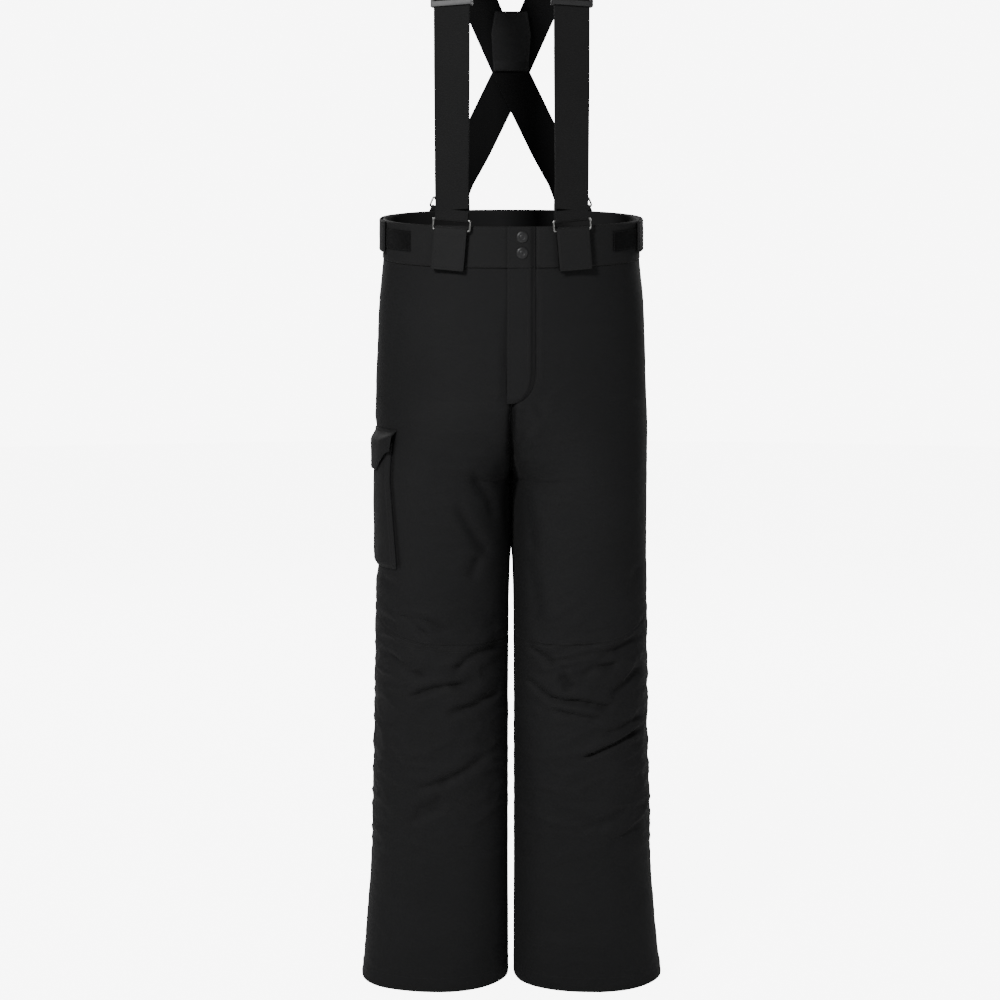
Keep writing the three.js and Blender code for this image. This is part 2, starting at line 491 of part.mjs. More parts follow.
// ---------- suspender straps ----------
const V = (x, y, z) => new THREE.Vector3(x, y, z);
const STRAP_TILT = 5.5 * DEG;
const strapUp = V(0, Math.sin(STRAP_TILT), Math.cos(STRAP_TILT));
const ADJ_Z = 274; // centre of the slide adjuster
const adjusters = {};
function strapStations(side) {
  const st = [], ff = tabs[side < 0 ? "front_right" : "front_left"], fb = tabs[side < 0 ? "back_left" : "back_right"];
  const R = RING_ROD + 0.3 + STRAP_T / 2;
  const frame = (f) => ({ B: ringPoint(f, 0, RING_H), w: f.w, n: f.n, u: f.u });
  const F = frame(ff), K = frame(fb);
  const put = (p, w, h) => st.push({ p, w, h });
  // back end: sewn loop round the upper bar of the back ring. The path starts on the outer side, runs down, round and up.
  const kUp = K.u.clone();
  const kPoint = (n, u) => K.B.clone().addScaledVector(K.n, n).addScaledVector(kUp, u);
  put(kPoint(1.1, 40), K.w, 22);
  put(kPoint(1.15, 26), K.w, 22);
  put(kPoint(R, 10), K.w, 22);
  for (let k = 0; k <= 6; k++) {
    const q = (Math.PI * k) / 6;
    put(K.B.clone().addScaledVector(K.n, R * Math.cos(q)).addScaledVector(kUp, -R * Math.sin(q)), K.w, 22);
  }
  put(kPoint(-R, 10), K.w, 22);
  put(kPoint(-1.15, 26), K.w, 22);
  put(kPoint(-1.1, 40), K.w, 22);
  // up the back, over the crossing, over the shoulder
  const cross = side < 0 ? 104.6 : 108.2, s = -side; // the strap comes from the opposite hip
  const wBack = (lean) => V(Math.cos(lean), 0, -side * Math.sin(lean) * -1).normalize();
  const base = kPoint(-1.1, 40);
  const pts = [
    [base.clone().lerp(V(0, cross, 200), 0.3), 24], [base.clone().lerp(V(0, cross, 200), 0.62), 25],
    [V(0, cross, 200), 25], [V(side * 20, cross - 4, 243), 24], [V(side * 39, cross - 18, 284), 23],
    [V(side * 50, 72 + (side < 0 ? 0 : 0), 308), 21], [V(side * 61, 53, 334), 17], [V(side * 69, 30, 354), 12], [V(side * 74.5, 4, 367), 6],
    [V(side * 77, -24, 371), 0], [V(side * 77.4, -50, 363), 0], [V(side * 77.5, -68, 348), 0],
  ];
  const wf0 = F.w.clone().multiplyScalar(Math.sign(F.w.x)); // width direction of the front, pointing +X
  wf0.z = 0;
  wf0.normalize();
  for (const [p, deg] of pts) {
    const lean = deg * DEG;
    // the strap rises towards its own shoulder, so the width direction tips the other way
    let w = V(Math.cos(lean), 0, -side * Math.sin(lean));
    const k = smooth(20, -70, p.y) * (p.z > 300 ? 1 : 0);
    w = w.lerp(wf0, k).normalize();
    put(p, w.multiplyScalar(Math.sign(K.w.x)), 23.6);
  }
  // front: straight down through the adjuster
  const wf = wf0.clone().multiplyScalar(Math.sign(K.w.x));
  const mid = F.B.clone(); // centre line between the two plies, at the upper bar
  const nF = wf0.clone().cross(strapUp).normalize();
  if (nF.y > 0) nF.negate(); // away from the body
  const line = (z, d) => mid.clone().addScaledVector(strapUp, (z - mid.z) / strapUp.z).addScaledVector(nF, d);
  for (const z of [326, 300, 240, 180, 120, 70, 40]) put(line(z, -1.1), wf, z > 200 ? 23.6 : 23.6 - (1.4 * (200 - z)) / 160);
  const fPoint = (n, u) => F.B.clone().addScaledVector(F.n, n).addScaledVector(F.u, u);
  const wr = F.w.clone().multiplyScalar(Math.sign(F.w.x) * Math.sign(K.w.x));
  put(fPoint(-R, 12), wr, 22);
  for (let k = 0; k <= 6; k++) {
    const q = (Math.PI * k) / 6;
    put(F.B.clone().addScaledVector(F.n, -R * Math.cos(q)).addScaledVector(F.u, -R * Math.sin(q)), wr, 21.9);
  }
  put(fPoint(R, 12), wr, 22);
  for (const z of [40, 70, 120, 180, 240, ADJ_Z - 1]) put(line(z, 1.1), wf, z > 200 ? 23.6 : 23.6 - (1.4 * (200 - z)) / 160);
  adjusters[side] = { O: line(ADJ_Z, 0), w: wf0.clone().addScaledVector(strapUp, -wf0.dot(strapUp)).normalize(), n: nF, u: strapUp.clone() };
  return st;
}
for (const [side, name] of [[-1, "right"], [1, "left"]]) {
  add(`strap_${name}`, ribbon(strapStations(side), STRAP_T), WEBBING);
  // slide adjuster: a frame whose upper and lower bars pass in front of the webbing and whose middle bar passes behind it
  const f = adjusters[side], A = 27.2, I = 24.3, H = 12.5;
  add(`adjuster_${name}`, unite(
    boxIn(f, -A, -I, -4.2, 4.4, -H, H), boxIn(f, I, A, -4.2, 4.4, -H, H),
    boxIn(f, -A + 1, A - 1, 2.5, 4.4, -H, -H + 6.5), boxIn(f, -A + 1, A - 1, 2.5, 4.4, H - 6.5, H),
    boxIn(f, -A + 1, A - 1, -4.2, -2.4, -2.4, 2.4)), GUNMETAL);
}
// Patches sewn over the crossing, inside and outside.
function patch(y0, y1, tilt) {
  const P = [[-21, 279], [23, 279], [27, 250], [24, 201], [-24, 201], [-27, 250]];
  const at = (x, z, y) => V(x, y - Math.max(0, z - 215) * tilt, z);
  const sh = P.map(([x, z]) => [x, z]);
  const pos = [], idx = [];
  for (const y of [y0, y1]) for (const [x, z] of sh) pos.push(...at(x, z, y).toArray());
  for (let i = 1; i < 5; i++) {
    idx.push(0, i, i + 1);
    idx.push(6, 6 + i + 1, 6 + i);
  }
  for (let i = 0; i < 6; i++) {
    const j = (i + 1) % 6;
    idx.push(i, 6 + i, 6 + j, i, 6 + j, j);
  }
  return outward(makeGeometry(pos, idx));
}
add("cross_patch_inner", patch(100.4, 98.8, 0.28), PATCH);
add("cross_patch_outer", patch(114.6, 113.0, 0.06), PATCH);

// ---------- cargo pocket on the wearer's right thigh ----------
const PK_F = -79, PK_B = 78, PK_TOP = -296, PK_LOW = -463; // front and back edges (y), mouth and bottom
const FLAP_TOP = -279, FLAP_LOW = -333;
function legStrip(y0, y1, z0, z1, d0, d1, n, rows) {
  const at = (i, j, d) => {
    const z = z0 + ((z1 - z0) * j) / rows, y = y0 + ((y1 - y0) * i) / n;
    return off(-1, psiAtY(z, y), z, d);
  };
  return gridSolid(n, rows, (i, j) => at(i, j, d0), (i, j) => at(i, j, d1));
}
{
  // one sheet, turned down to the thigh along both sides and the bottom
  const ys = [PK_F], zs = [PK_TOP, -340, -390, -430, PK_LOW + 3, PK_LOW], n = 9;
  for (let k = 0; k <= n; k++) ys.push(PK_F + 3 + ((PK_B - PK_F - 6) * k) / n);
  ys.push(PK_B);
  const low = (i, j) => i === 0 || i === n + 2 || j === zs.length - 1;
  const at = (i, j, hi, lo) => off(-1, psiAtY(zs[j], ys[i]), zs[j], low(i, j) ? lo : hi);
  add("cargo_pocket", gridSolid(n + 2, zs.length - 1, (i, j) => at(i, j, 5.4, 2.2), (i, j) => at(i, j, 4.2, 0.8)), SHELL);
}
add("cargo_loop_tape", legStrip(-22, 22, -306, -326, 6.3, 5.7, 4, 1), LOOPTAPE);
add("cargo_hook_tape", legStrip(-22, 22, -307, -325, 7.1, 6.6, 4, 1), LOOPTAPE);
add("cargo_flap", legStrip(PK_F - 4, PK_B + 4, FLAP_TOP, FLAP_LOW, 8.6, 7.5, 12, 2), SHELL);

// Hinge lines and sliding lines, for whoever mounts or moves the pieces.
const line3 = (p, a) => ({ p: p.toArray(), a: a.toArray() });
root.userData.motion = {
  fly: line3(bandPoint(27, false, -100, -0.7), V(0, 0, 1)),
  zip: line3(V(ZIP_X, ZIP_Y, ZIP_TOP - 7), V(0, 0, -1)),
  side_right: line3(off(-1, SIDE_TAB[0], -22, 2.4), V(0, 0, -1)),
  side_left: line3(off(1, SIDE_TAB[0], -22, 2.4), V(0, 0, 1)),
  cargo: line3(off(-1, 0, FLAP_TOP, 8), V(0, 1, 0)),
};
for (const [k, f] of Object.entries(tabs)) root.userData.motion["tab_" + k] = line3(f.O, f.w);
for (const [k, f] of Object.entries(adjusters)) root.userData.motion["adj_" + k] = line3(f.O, f.u);

export default root;
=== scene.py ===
import bpy, json, math
import numpy as np
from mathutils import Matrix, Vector

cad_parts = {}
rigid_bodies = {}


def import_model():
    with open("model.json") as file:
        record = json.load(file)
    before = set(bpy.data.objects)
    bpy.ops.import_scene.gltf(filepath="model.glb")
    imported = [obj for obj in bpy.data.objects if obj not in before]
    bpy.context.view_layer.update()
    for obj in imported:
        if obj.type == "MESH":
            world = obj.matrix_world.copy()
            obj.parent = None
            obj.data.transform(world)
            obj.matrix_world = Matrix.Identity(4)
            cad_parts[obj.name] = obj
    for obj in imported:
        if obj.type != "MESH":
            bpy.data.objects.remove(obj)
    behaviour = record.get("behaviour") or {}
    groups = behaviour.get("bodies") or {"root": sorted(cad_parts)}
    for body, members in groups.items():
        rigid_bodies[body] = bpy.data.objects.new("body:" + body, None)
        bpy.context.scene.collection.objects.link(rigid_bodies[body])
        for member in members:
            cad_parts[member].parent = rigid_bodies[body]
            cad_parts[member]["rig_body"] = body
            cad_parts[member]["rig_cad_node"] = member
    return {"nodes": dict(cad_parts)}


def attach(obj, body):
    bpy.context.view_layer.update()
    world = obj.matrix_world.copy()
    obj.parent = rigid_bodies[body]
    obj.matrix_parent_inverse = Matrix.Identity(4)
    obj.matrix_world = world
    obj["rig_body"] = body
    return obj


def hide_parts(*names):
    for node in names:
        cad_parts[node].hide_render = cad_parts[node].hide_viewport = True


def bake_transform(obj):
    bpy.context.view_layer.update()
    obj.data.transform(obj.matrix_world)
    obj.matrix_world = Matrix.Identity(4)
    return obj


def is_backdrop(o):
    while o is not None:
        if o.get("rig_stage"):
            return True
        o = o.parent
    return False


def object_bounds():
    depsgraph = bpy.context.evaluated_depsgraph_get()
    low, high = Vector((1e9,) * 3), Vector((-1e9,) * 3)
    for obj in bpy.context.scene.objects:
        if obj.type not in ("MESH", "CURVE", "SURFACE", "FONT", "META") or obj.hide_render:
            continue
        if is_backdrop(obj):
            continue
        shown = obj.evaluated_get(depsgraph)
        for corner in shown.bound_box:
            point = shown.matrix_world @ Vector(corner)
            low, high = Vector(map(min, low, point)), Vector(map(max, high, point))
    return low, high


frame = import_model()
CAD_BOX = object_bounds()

NODES = frame["nodes"]
MM = 0.001
RNG = np.random.RandomState(7)

# =====================================================================
# The same tables as the frame's, in millimetres
# =====================================================================
SEAM = 0.25
CROTCH_Z, SPLIT_Z, HEM_Z, RIM_Z, BAND_Z, RIM_SLOPE = -345.0, -240.0, -1037.0, -1.0, -54.0, 0.13
FLY_X, FLY_EDGE, FLY_BOTTOM = 30.0, -6.0, -242.0
N_SUPER = 2.25
OUTER_X = [[20, 169], [0, 169.5], [-51, 170.3], [-73, 172.4], [-110, 176.1], [-177, 179.3], [-244, 181.8],
  [-298, 183.2], [-407, 183.2], [-517, 183], [-573, 183.5], [-628, 185], [-684, 186.6], [-740, 188], [-797, 189.8],
  [-868, 192.4], [-939, 197.4], [-982, 201], [-1011, 204], [-1037, 207]]
INNER_X = [[-345, 0.3], [-440, 0.3], [-462, 1.4], [-517, 3], [-573, 3.5], [-628, 4], [-868, 4], [-982, 3.5], [-1037, 3.5]]
FRONT_B = [[20, 120], [-240, 120], [-300, 116], [-345, 111], [-420, 103], [-500, 97], [-560, 95], [-640, 92],
  [-700, 89], [-800, 87], [-900, 88], [-1037, 90]]
BACK_B = [[20, 112], [0, 113], [-54, 118], [-100, 127], [-160, 138], [-230, 144], [-290, 140], [-345, 129],
  [-420, 110], [-500, 96], [-560, 91], [-640, 90], [-740, 90], [-900, 90], [-1037, 91]]


def table_fn(t):
    zs = np.array([r[0] for r in t][::-1], float)
    vs = np.array([r[1] for r in t][::-1], float)
    d = np.diff(vs) / np.diff(zs)
    m = np.zeros(len(zs))
    m[0], m[-1] = d[0], d[-1]
    for k in range(1, len(zs) - 1):
        m[k] = 0 if d[k - 1] * d[k] <= 0 else 2 * d[k - 1] * d[k] / (d[k - 1] + d[k])

    def f(z):
        z = np.clip(np.asarray(z, float), zs[0], zs[-1])
        i = np.clip(np.searchsorted(zs, z) - 1, 0, len(zs) - 2)
        h = zs[i + 1] - zs[i]
        s = (z - zs[i]) / h
        return ((2 * s**3 - 3 * s**2 + 1) * vs[i] + (s**3 - 2 * s**2 + s) * h * m[i]
                + (-2 * s**3 + 3 * s**2) * vs[i + 1] + (s**3 - s**2) * h * m[i + 1])
    return f


f_outer, f_inner, f_front, f_back = (table_fn(t) for t in (OUTER_X, INNER_X, FRONT_B, BACK_B))


def smooth(a, b, x):
    s = np.clip((np.asarray(x, float) - a) / (b - a), 0, 1)
    return s * s * (3 - 2 * s)


def section(z, side=1):
    xo = f_outer(z)
    if side < 0:
        xo = xo - 3 * smooth(-262, -288, z) * (1 - smooth(-466, -492, z))
    xi = f_inner(z)
    r = np.clip((SPLIT_Z - z) / (SPLIT_Z - CROTCH_Z), 0, 1)
    leg = np.asarray(z) <= CROTCH_Z
    a = np.where(leg, (xo - xi) / 2, xo / (1 + r))
    cx = np.where(leg, (xo + xi) / 2, r * xo / (1 + r))
    return a, cx


def pw(v, e):
    return np.sign(v) * np.abs(v) ** e


def surf(side, psi, z):
    psi, z = np.broadcast_arrays(np.asarray(psi, float), np.asarray(z, float))
    a, cx = section(z, side)
    b = np.where(psi >= 0, f_front(z), f_back(z))
    x = side * (cx + a * pw(np.cos(psi), 2 / N_SUPER))
    y = -b * pw(np.sin(psi), 2 / N_SUPER)
    return np.stack([x, y, z + RIM_SLOPE * y * smooth(-250, -70, z)], -1)


def unit(v):
    return v / np.maximum(np.linalg.norm(v, axis=-1, keepdims=True), 1e-12)


def normal(side, psi, z):
    psi, z = np.broadcast_arrays(np.asarray(psi, float), np.asarray(z, float))
    e = 2e-2
    g = np.where(psi >= 0, 1.0, -1.0)
    near = np.abs(psi) < e
    p0 = surf(side, np.where(near, g * 1e-4, psi - e), z)
    p1 = surf(side, np.where(near, g * e, psi + e), z)
    tu = p1 - p0
    tu = np.where(near[..., None], np.array([0.0, -1.0, 0.0]), tu)
    tu = np.where((np.abs(np.abs(psi) - math.pi) < e)[..., None], np.array([0.0, 1.0, 0.0]), tu)
    q = surf(side, psi, z + 2) - surf(side, psi, z - 2)
    return unit(np.cross(tu, q)) * -side


def off(side, psi, z, d):
    return surf(side, psi, z) + normal(side, psi, z) * np.asarray(d, float)[..., None]


def psi_at_x(z, xcut, back=False, side=1):
    a, cx = section(z, side)
    q = np.clip((xcut - cx) / a, -1, 1)
    return (-1 if back else 1) * np.arccos(pw(q, N_SUPER / 2))


def psi_at_y(z, y):
    b = np.where(np.asarray(y) <= 0, f_front(z), f_back(z))
    return -np.sign(y) * np.arcsin(np.minimum(1, np.abs(y) / b) ** (N_SUPER / 2))


def band_point(x, back, z, d):
    side = 1 if x >= 0 else -1
    return off(side, psi_at_x(z, abs(x), back, side), z, d)


def fly_curve(z):
    z = np.asarray(z, float)
    t = np.clip((-200 - z) / (-200 - FLY_BOTTOM), 0, 1)
    return np.where(z > -200, 1.0, np.sqrt(1 - t * t))


# =====================================================================
# Smooth noise, seeded
# =====================================================================
_perm = RNG.permutation(256)
_perm = np.concatenate([_perm, _perm, _perm])
_grad = unit(RNG.normal(size=(256, 3)))


def noise3(p):
    p = np.asarray(p, float)
    i = np.floor(p).astype(int)
    f = p - i
    w = f * f * f * (f * (f * 6 - 15) + 10)
    i &= 255
    out = 0
    for dx in (0, 1):
        for dy in (0, 1):
            for dz in (0, 1):
                h = _perm[_perm[_perm[i[..., 0] + dx & 255] + (i[..., 1] + dy & 255) & 255] + (i[..., 2] + dz & 255) & 255]
                g = _grad[h]
                d = (g * (f - np.array([dx, dy, dz]))).sum(-1)
                out = out + d * (w[..., 0] if dx else 1 - w[..., 0]) * (w[..., 1] if dy else 1 - w[..., 1]) * (w[..., 2] if dz else 1 - w[..., 2])
    return out * 1.6


def ridged(p):
    return 1 - 2 * np.abs(noise3(p))


# =====================================================================
# Mesh helpers: everything is given in millimetres
# =====================================================================
def new_object(name, verts, faces, mat, body, uv=None, smooth_shade=True, replace=(), ride=True):
    me = bpy.data.meshes.new(name)
    me.from_pydata((np.asarray(verts) * MM).tolist(), [], [tuple(int(q) for q in f) for f in faces])
    me.validate()
    if uv is not None:
        layer = me.uv_layers.new(name="UVMap")
        li = np.zeros(len(me.loops), np.int32)
        me.loops.foreach_get("vertex_index", li)
        layer.data.foreach_set("uv", (np.asarray(uv)[li] * MM).astype(np.float32).ravel())
    me.polygons.foreach_set("use_smooth", [smooth_shade] * len(me.polygons))
    me.update()
    o = bpy.data.objects.new(name, me)
    bpy.context.scene.collection.objects.link(o)
    me.materials.append(mat)
    if replace:
        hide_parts(*replace)
    if ride:
        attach(o, body)
    return o


def sharp_edges(o, angle=50):
    me = o.data
    me.update()
    import bmesh
    bm = bmesh.new()
    bm.from_mesh(me)
    for e in bm.edges:
        if len(e.link_faces) == 2 and e.calc_face_angle(0) > math.radians(angle):
            e.smooth = False
    bm.to_mesh(me)
    bm.free()
    return o


def volume(v, f):
    t = []
    for q in f:
        t.append((q[0], q[1], q[2]))
        if len(q) == 4:
            t.append((q[0], q[2], q[3]))
    t = np.array(t)
    return float((v[t[:, 0]] * np.cross(v[t[:, 1]], v[t[:, 2]])).sum())


def grid_solid(outer, inner, wrap=False):
    """outer, inner: (nu, nv, 3) point grids. Returns verts, faces of a closed body."""
    nu, nv = outer.shape[:2]
    v = np.concatenate([outer.reshape(-1, 3), inner.reshape(-1, 3)])
    N = nu * nv
    I, J = np.meshgrid(np.arange(nu if wrap else nu - 1), np.arange(nv - 1), indexing="ij")
    I, J = I.ravel(), J.ravel()
    K = (I + 1) % nu
    id_ = lambda s, i, j: s * N + i * nv + j
    F = [np.stack([id_(0, I, J), id_(0, K, J), id_(0, K, J + 1), id_(0, I, J + 1)], 1),
         np.stack([id_(1, I, J), id_(1, I, J + 1), id_(1, K, J + 1), id_(1, K, J)], 1)]
    i = np.arange(nu if wrap else nu - 1)
    k = (i + 1) % nu
    z, e = np.zeros_like(i), np.full_like(i, nv - 1)
    F.append(np.stack([id_(0, i, z), id_(1, i, z), id_(1, k, z), id_(0, k, z)], 1))
    F.append(np.stack([id_(0, i, e), id_(0, k, e), id_(1, k, e), id_(1, i, e)], 1))
    if not wrap:
        j = np.arange(nv - 1)
        z, e = np.zeros_like(j), np.full_like(j, nu - 1)
        F.append(np.stack([id_(0, z, j), id_(0, z, j + 1), id_(1, z, j + 1), id_(1, z, j)], 1))
        F.append(np.stack([id_(0, e, j), id_(1, e, j), id_(1, e, j + 1), id_(0, e, j + 1)], 1))
    F = np.concatenate(F)
    if volume(v, F[:: max(1, len(F) // 200000)] if False else F) < 0:
        F = F[:, ::-1]
    return v, F


def grid_uv(G):
    du = np.linalg.norm(np.diff(G, axis=0), axis=-1)
    dv = np.linalg.norm(np.diff(G, axis=1), axis=-1)
    u = np.concatenate([np.zeros((1, G.shape[1])), np.cumsum(du, 0)], 0)
    u = u - u[u.shape[0] // 2][None]
    v = np.concatenate([np.zeros((G.shape[0], 1)), np.cumsum(dv, 1)], 1)
    w = np.stack([u, v], -1).reshape(-1, 2)
    return np.concatenate([w, w])


def sweep(O, A, B, prof, closed_path=False):
    """Carries a closed outline prof [(a, b)] along stations O with axes A and B. Flat caps at both ends."""
    O, A, B = (np.asarray(q, float) for q in (O, A, B))
    prof = np.asarray(prof, float)
    if prof.ndim == 2:
        prof = np.broadcast_to(prof, (len(O),) + prof.shape)
    n, m = len(O), prof.shape[1]
    V = O[:, None] + A[:, None] * prof[..., 0:1] + B[:, None] * prof[..., 1:2]
    v = V.reshape(-1, 3)
    F = []
    for i in range(n if closed_path else n - 1):
        k = (i + 1) % n
        for j in range(m):
            l = (j + 1) % m
            F.append((i * m + j, i * m + l, k * m + l, k * m + j))
    if not closed_path:
        # caps: strips across the outline, so that no face has many corners
        for base, flip in ((0, False), ((n - 1) * m, True)):
            a, b = 0, m - 1
            while b - a > 2:
                q = (base + a, base + b, base + b - 1, base + a + 1)
                F.append(q if not flip else q[::-1])
                a += 1
                b -= 1
            if b - a == 2:
                q = (base + a, base + b, base + a + 1)
                F.append(q if not flip else q[::-1])
    if volume(v, F) < 0:
        F = [q[::-1] for q in F]
    s = np.concatenate([[0], np.cumsum(np.linalg.norm(np.diff(O, axis=0), axis=1))])
    uv = np.stack([prof[..., 0], np.broadcast_to(s[:, None], prof.shape[:2])], -1).reshape(-1, 2)
    return v, F, uv


def rounded(w, t, r=None, nw=8, lens=0.0):
    """Outline of a strip of width w and thickness t with rounded edges; lens adds thickness towards the middle."""
    r = min(t / 2, r if r else t / 2) * 0.999
    pts = []
    xs = np.linspace(-w / 2 + r, w / 2 - r, nw)
    bulge = lambda x: lens * (1 - (2 * x / w) ** 2)
    for x in xs:
        pts.append((x, t / 2 + bulge(x)))
    for q in (60, 30, 0, -30, -60):
        pts.append((w / 2 - r + r * math.cos(math.radians(q)), (t / 2) * math.sin(math.radians(q)) if r >= t / 2 * 0.99 else (t / 2 - r) * np.sign(q) + r * math.sin(math.radians(q))))
    for x in xs[::-1]:
        pts.append((x, -t / 2))
    for q in (240, 210, 180, 150, 120):
        s = math.sin(math.radians(q))
        pts.append((-w / 2 + r + r * math.cos(math.radians(q)), (t / 2) * s if r >= t / 2 * 0.99 else (t / 2 - r) * np.sign(s) + r * s))
    return pts


def resample(P, step, *more, n=None):
    P = np.asarray(P, float)
    s = np.concatenate([[0], np.cumsum(np.linalg.norm(np.diff(P, axis=0), axis=1))])
    n = n or max(2, int(round(s[-1] / step)) + 1)
    q = np.linspace(0, s[-1], n)
    res = [np.stack([np.interp(q, s, P[:, k]) for k in range(P.shape[1])], 1)]
    for M in more:
        M = np.asarray(M, float)
        res.append(np.interp(q, s, M) if M.ndim == 1 else np.stack([np.interp(q, s, M[:, k]) for k in range(M.shape[1])], 1))
    return res if more else res[0]


def catmull(P, per=8):
    P = np.asarray(P, float)
    Q = np.concatenate([[2 * P[0] - P[1]], P, [2 * P[-1] - P[-2]]])
    out = []
    for i in range(len(P) - 1):
        p0, p1, p2, p3 = Q[i:i + 4]
        t0, t1 = 0.0, np.linalg.norm(p1 - p0) ** 0.5 + 1e-6
        t2 = t1 + np.linalg.norm(p2 - p1) ** 0.5 + 1e-6
        t3 = t2 + np.linalg.norm(p3 - p2) ** 0.5 + 1e-6
        for t in np.linspace(t1, t2, per, endpoint=False):
            a1 = (t1 - t) / (t1 - t0) * p0 + (t - t0) / (t1 - t0) * p1
            a2 = (t2 - t) / (t2 - t1) * p1 + (t - t1) / (t2 - t1) * p2
            a3 = (t3 - t) / (t3 - t2) * p2 + (t - t2) / (t3 - t2) * p3
            b1 = (t2 - t) / (t2 - t0) * a1 + (t - t0) / (t2 - t0) * a2
            b2 = (t3 - t) / (t3 - t1) * a2 + (t - t1) / (t3 - t1) * a3
            out.append((t2 - t) / (t2 - t1) * b1 + (t - t1) / (t2 - t1) * b2)
    out.append(P[-1])
    return np.array(out)


class Thread:
    """Collects stitches of one body into one mesh."""
    def __init__(self):
        self.v, self.f = [], []

    def row(self, pts, nrm, pitch=3.4, length=2.5, r=0.28, lift=0.02):
        pts, nrm = np.asarray(pts, float), np.asarray(nrm, float)
        ok = np.concatenate([[True], np.linalg.norm(np.diff(pts, axis=0), axis=1) > 1e-6])
        P, N = resample(pts[ok], pitch, nrm[ok])
        if len(P) < 3:
            return
        T = unit(np.gradient(P, axis=0))
        N = unit(N - T * (N * T).sum(-1, keepdims=True))
        S = np.cross(T, N)
        for p, t, n, s in zip(P, T, N, S):
            b = len(self.v)
            c = p + n * lift
            self.v.append(c - t * length / 2 - n * 0.3)
            for a, rr in ((-0.3, r), (0.3, r)):
                for k in range(5):
                    q = 2 * math.pi * k / 5
                    self.v.append(c + t * a * length + (s * math.cos(q) + n * math.sin(q)) * rr)
            self.v.append(c + t * length / 2 - n * 0.3)
            for k in range(5):
                l = (k + 1) % 5
                self.f.append((b, b + 1 + l, b + 1 + k))
                self.f.append((b + 1 + k, b + 1 + l, b + 6 + l, b + 6 + k))
                self.f.append((b + 11, b + 6 + k, b + 6 + l))

    def build(self, name, mat, body="pants"):
        if not self.v:
            return None
        v = np.array(self.v)
        f = self.f
        if volume(v, f) < 0:
            f = [q[::-1] for q in f]
        return new_object(name, v, f, mat, body)


def inset(G, N, edge, d):
    """Points d mm inside one edge of a grid, with their normals."""
    if edge[0] == "u":
        A, M = (G, N) if edge[1] == "0" else (G[::-1], N[::-1])
    else:
        A, M = (G.transpose(1, 0, 2), N.transpose(1, 0, 2))
        if edge[1] == "1":
            A, M = A[::-1], M[::-1]
    s = np.concatenate([np.zeros((1, A.shape[1])), np.cumsum(np.linalg.norm(np.diff(A, axis=0), axis=-1), 0)])
    P, Q = [], []
    for j in range(A.shape[1]):
        dj = d[j] if np.ndim(d) else d
        P.append([np.interp(dj, s[:, j], A[:, j, k]) for k in range(3)])
        Q.append([np.interp(dj, s[:, j], M[:, j, k]) for k in range(3)])
    return np.array(P), unit(np.array(Q))


# =====================================================================
# Materials
# =====================================================================
def base_material(name, color, rough, metallic=0.0, spec=0.3, sheen=0.0, coat=0.0):
    m = bpy.data.materials.new(name)
    m.use_nodes = True
    nt = m.node_tree
    b = nt.nodes["Principled BSDF"]
    b.inputs["Base Color"].default_value = (*color, 1)
    b.inputs["Roughness"].default_value = rough
    b.inputs["Metallic"].default_value = metallic
    b.inputs["Specular IOR Level"].default_value = spec
    b.inputs["Sheen Weight"].default_value = sheen
    b.inputs["Coat Weight"].default_value = coat
    return m, nt, b


def N(nt, kind, **props):
    n = nt.nodes.new(kind)
    for k, v in props.items():
        setattr(n, k, v)
    return n


def vary(nt, b, color, amount, scale, coord, fine=None):
    """Colour that drifts a little over the cloth."""
    noise = N(nt, "ShaderNodeTexNoise")
    noise.inputs["Scale"].default_value = scale
    noise.inputs["Detail"].default_value = 5
    nt.links.new(coord, noise.inputs["Vector"])
    ramp = N(nt, "ShaderNodeValToRGB")
    lo, hi = [c * (1 - amount) for c in color], [c * (1 + amount) for c in color]
    ramp.color_ramp.elements[0].position, ramp.color_ramp.elements[1].position = 0.32, 0.68
    ramp.color_ramp.elements[0].color, ramp.color_ramp.elements[1].color = (*lo, 1), (*hi, 1)
    nt.links.new(noise.outputs["Fac"], ramp.inputs["Fac"])
    nt.links.new(ramp.outputs["Color"], b.inputs["Base Color"])
    return ramp


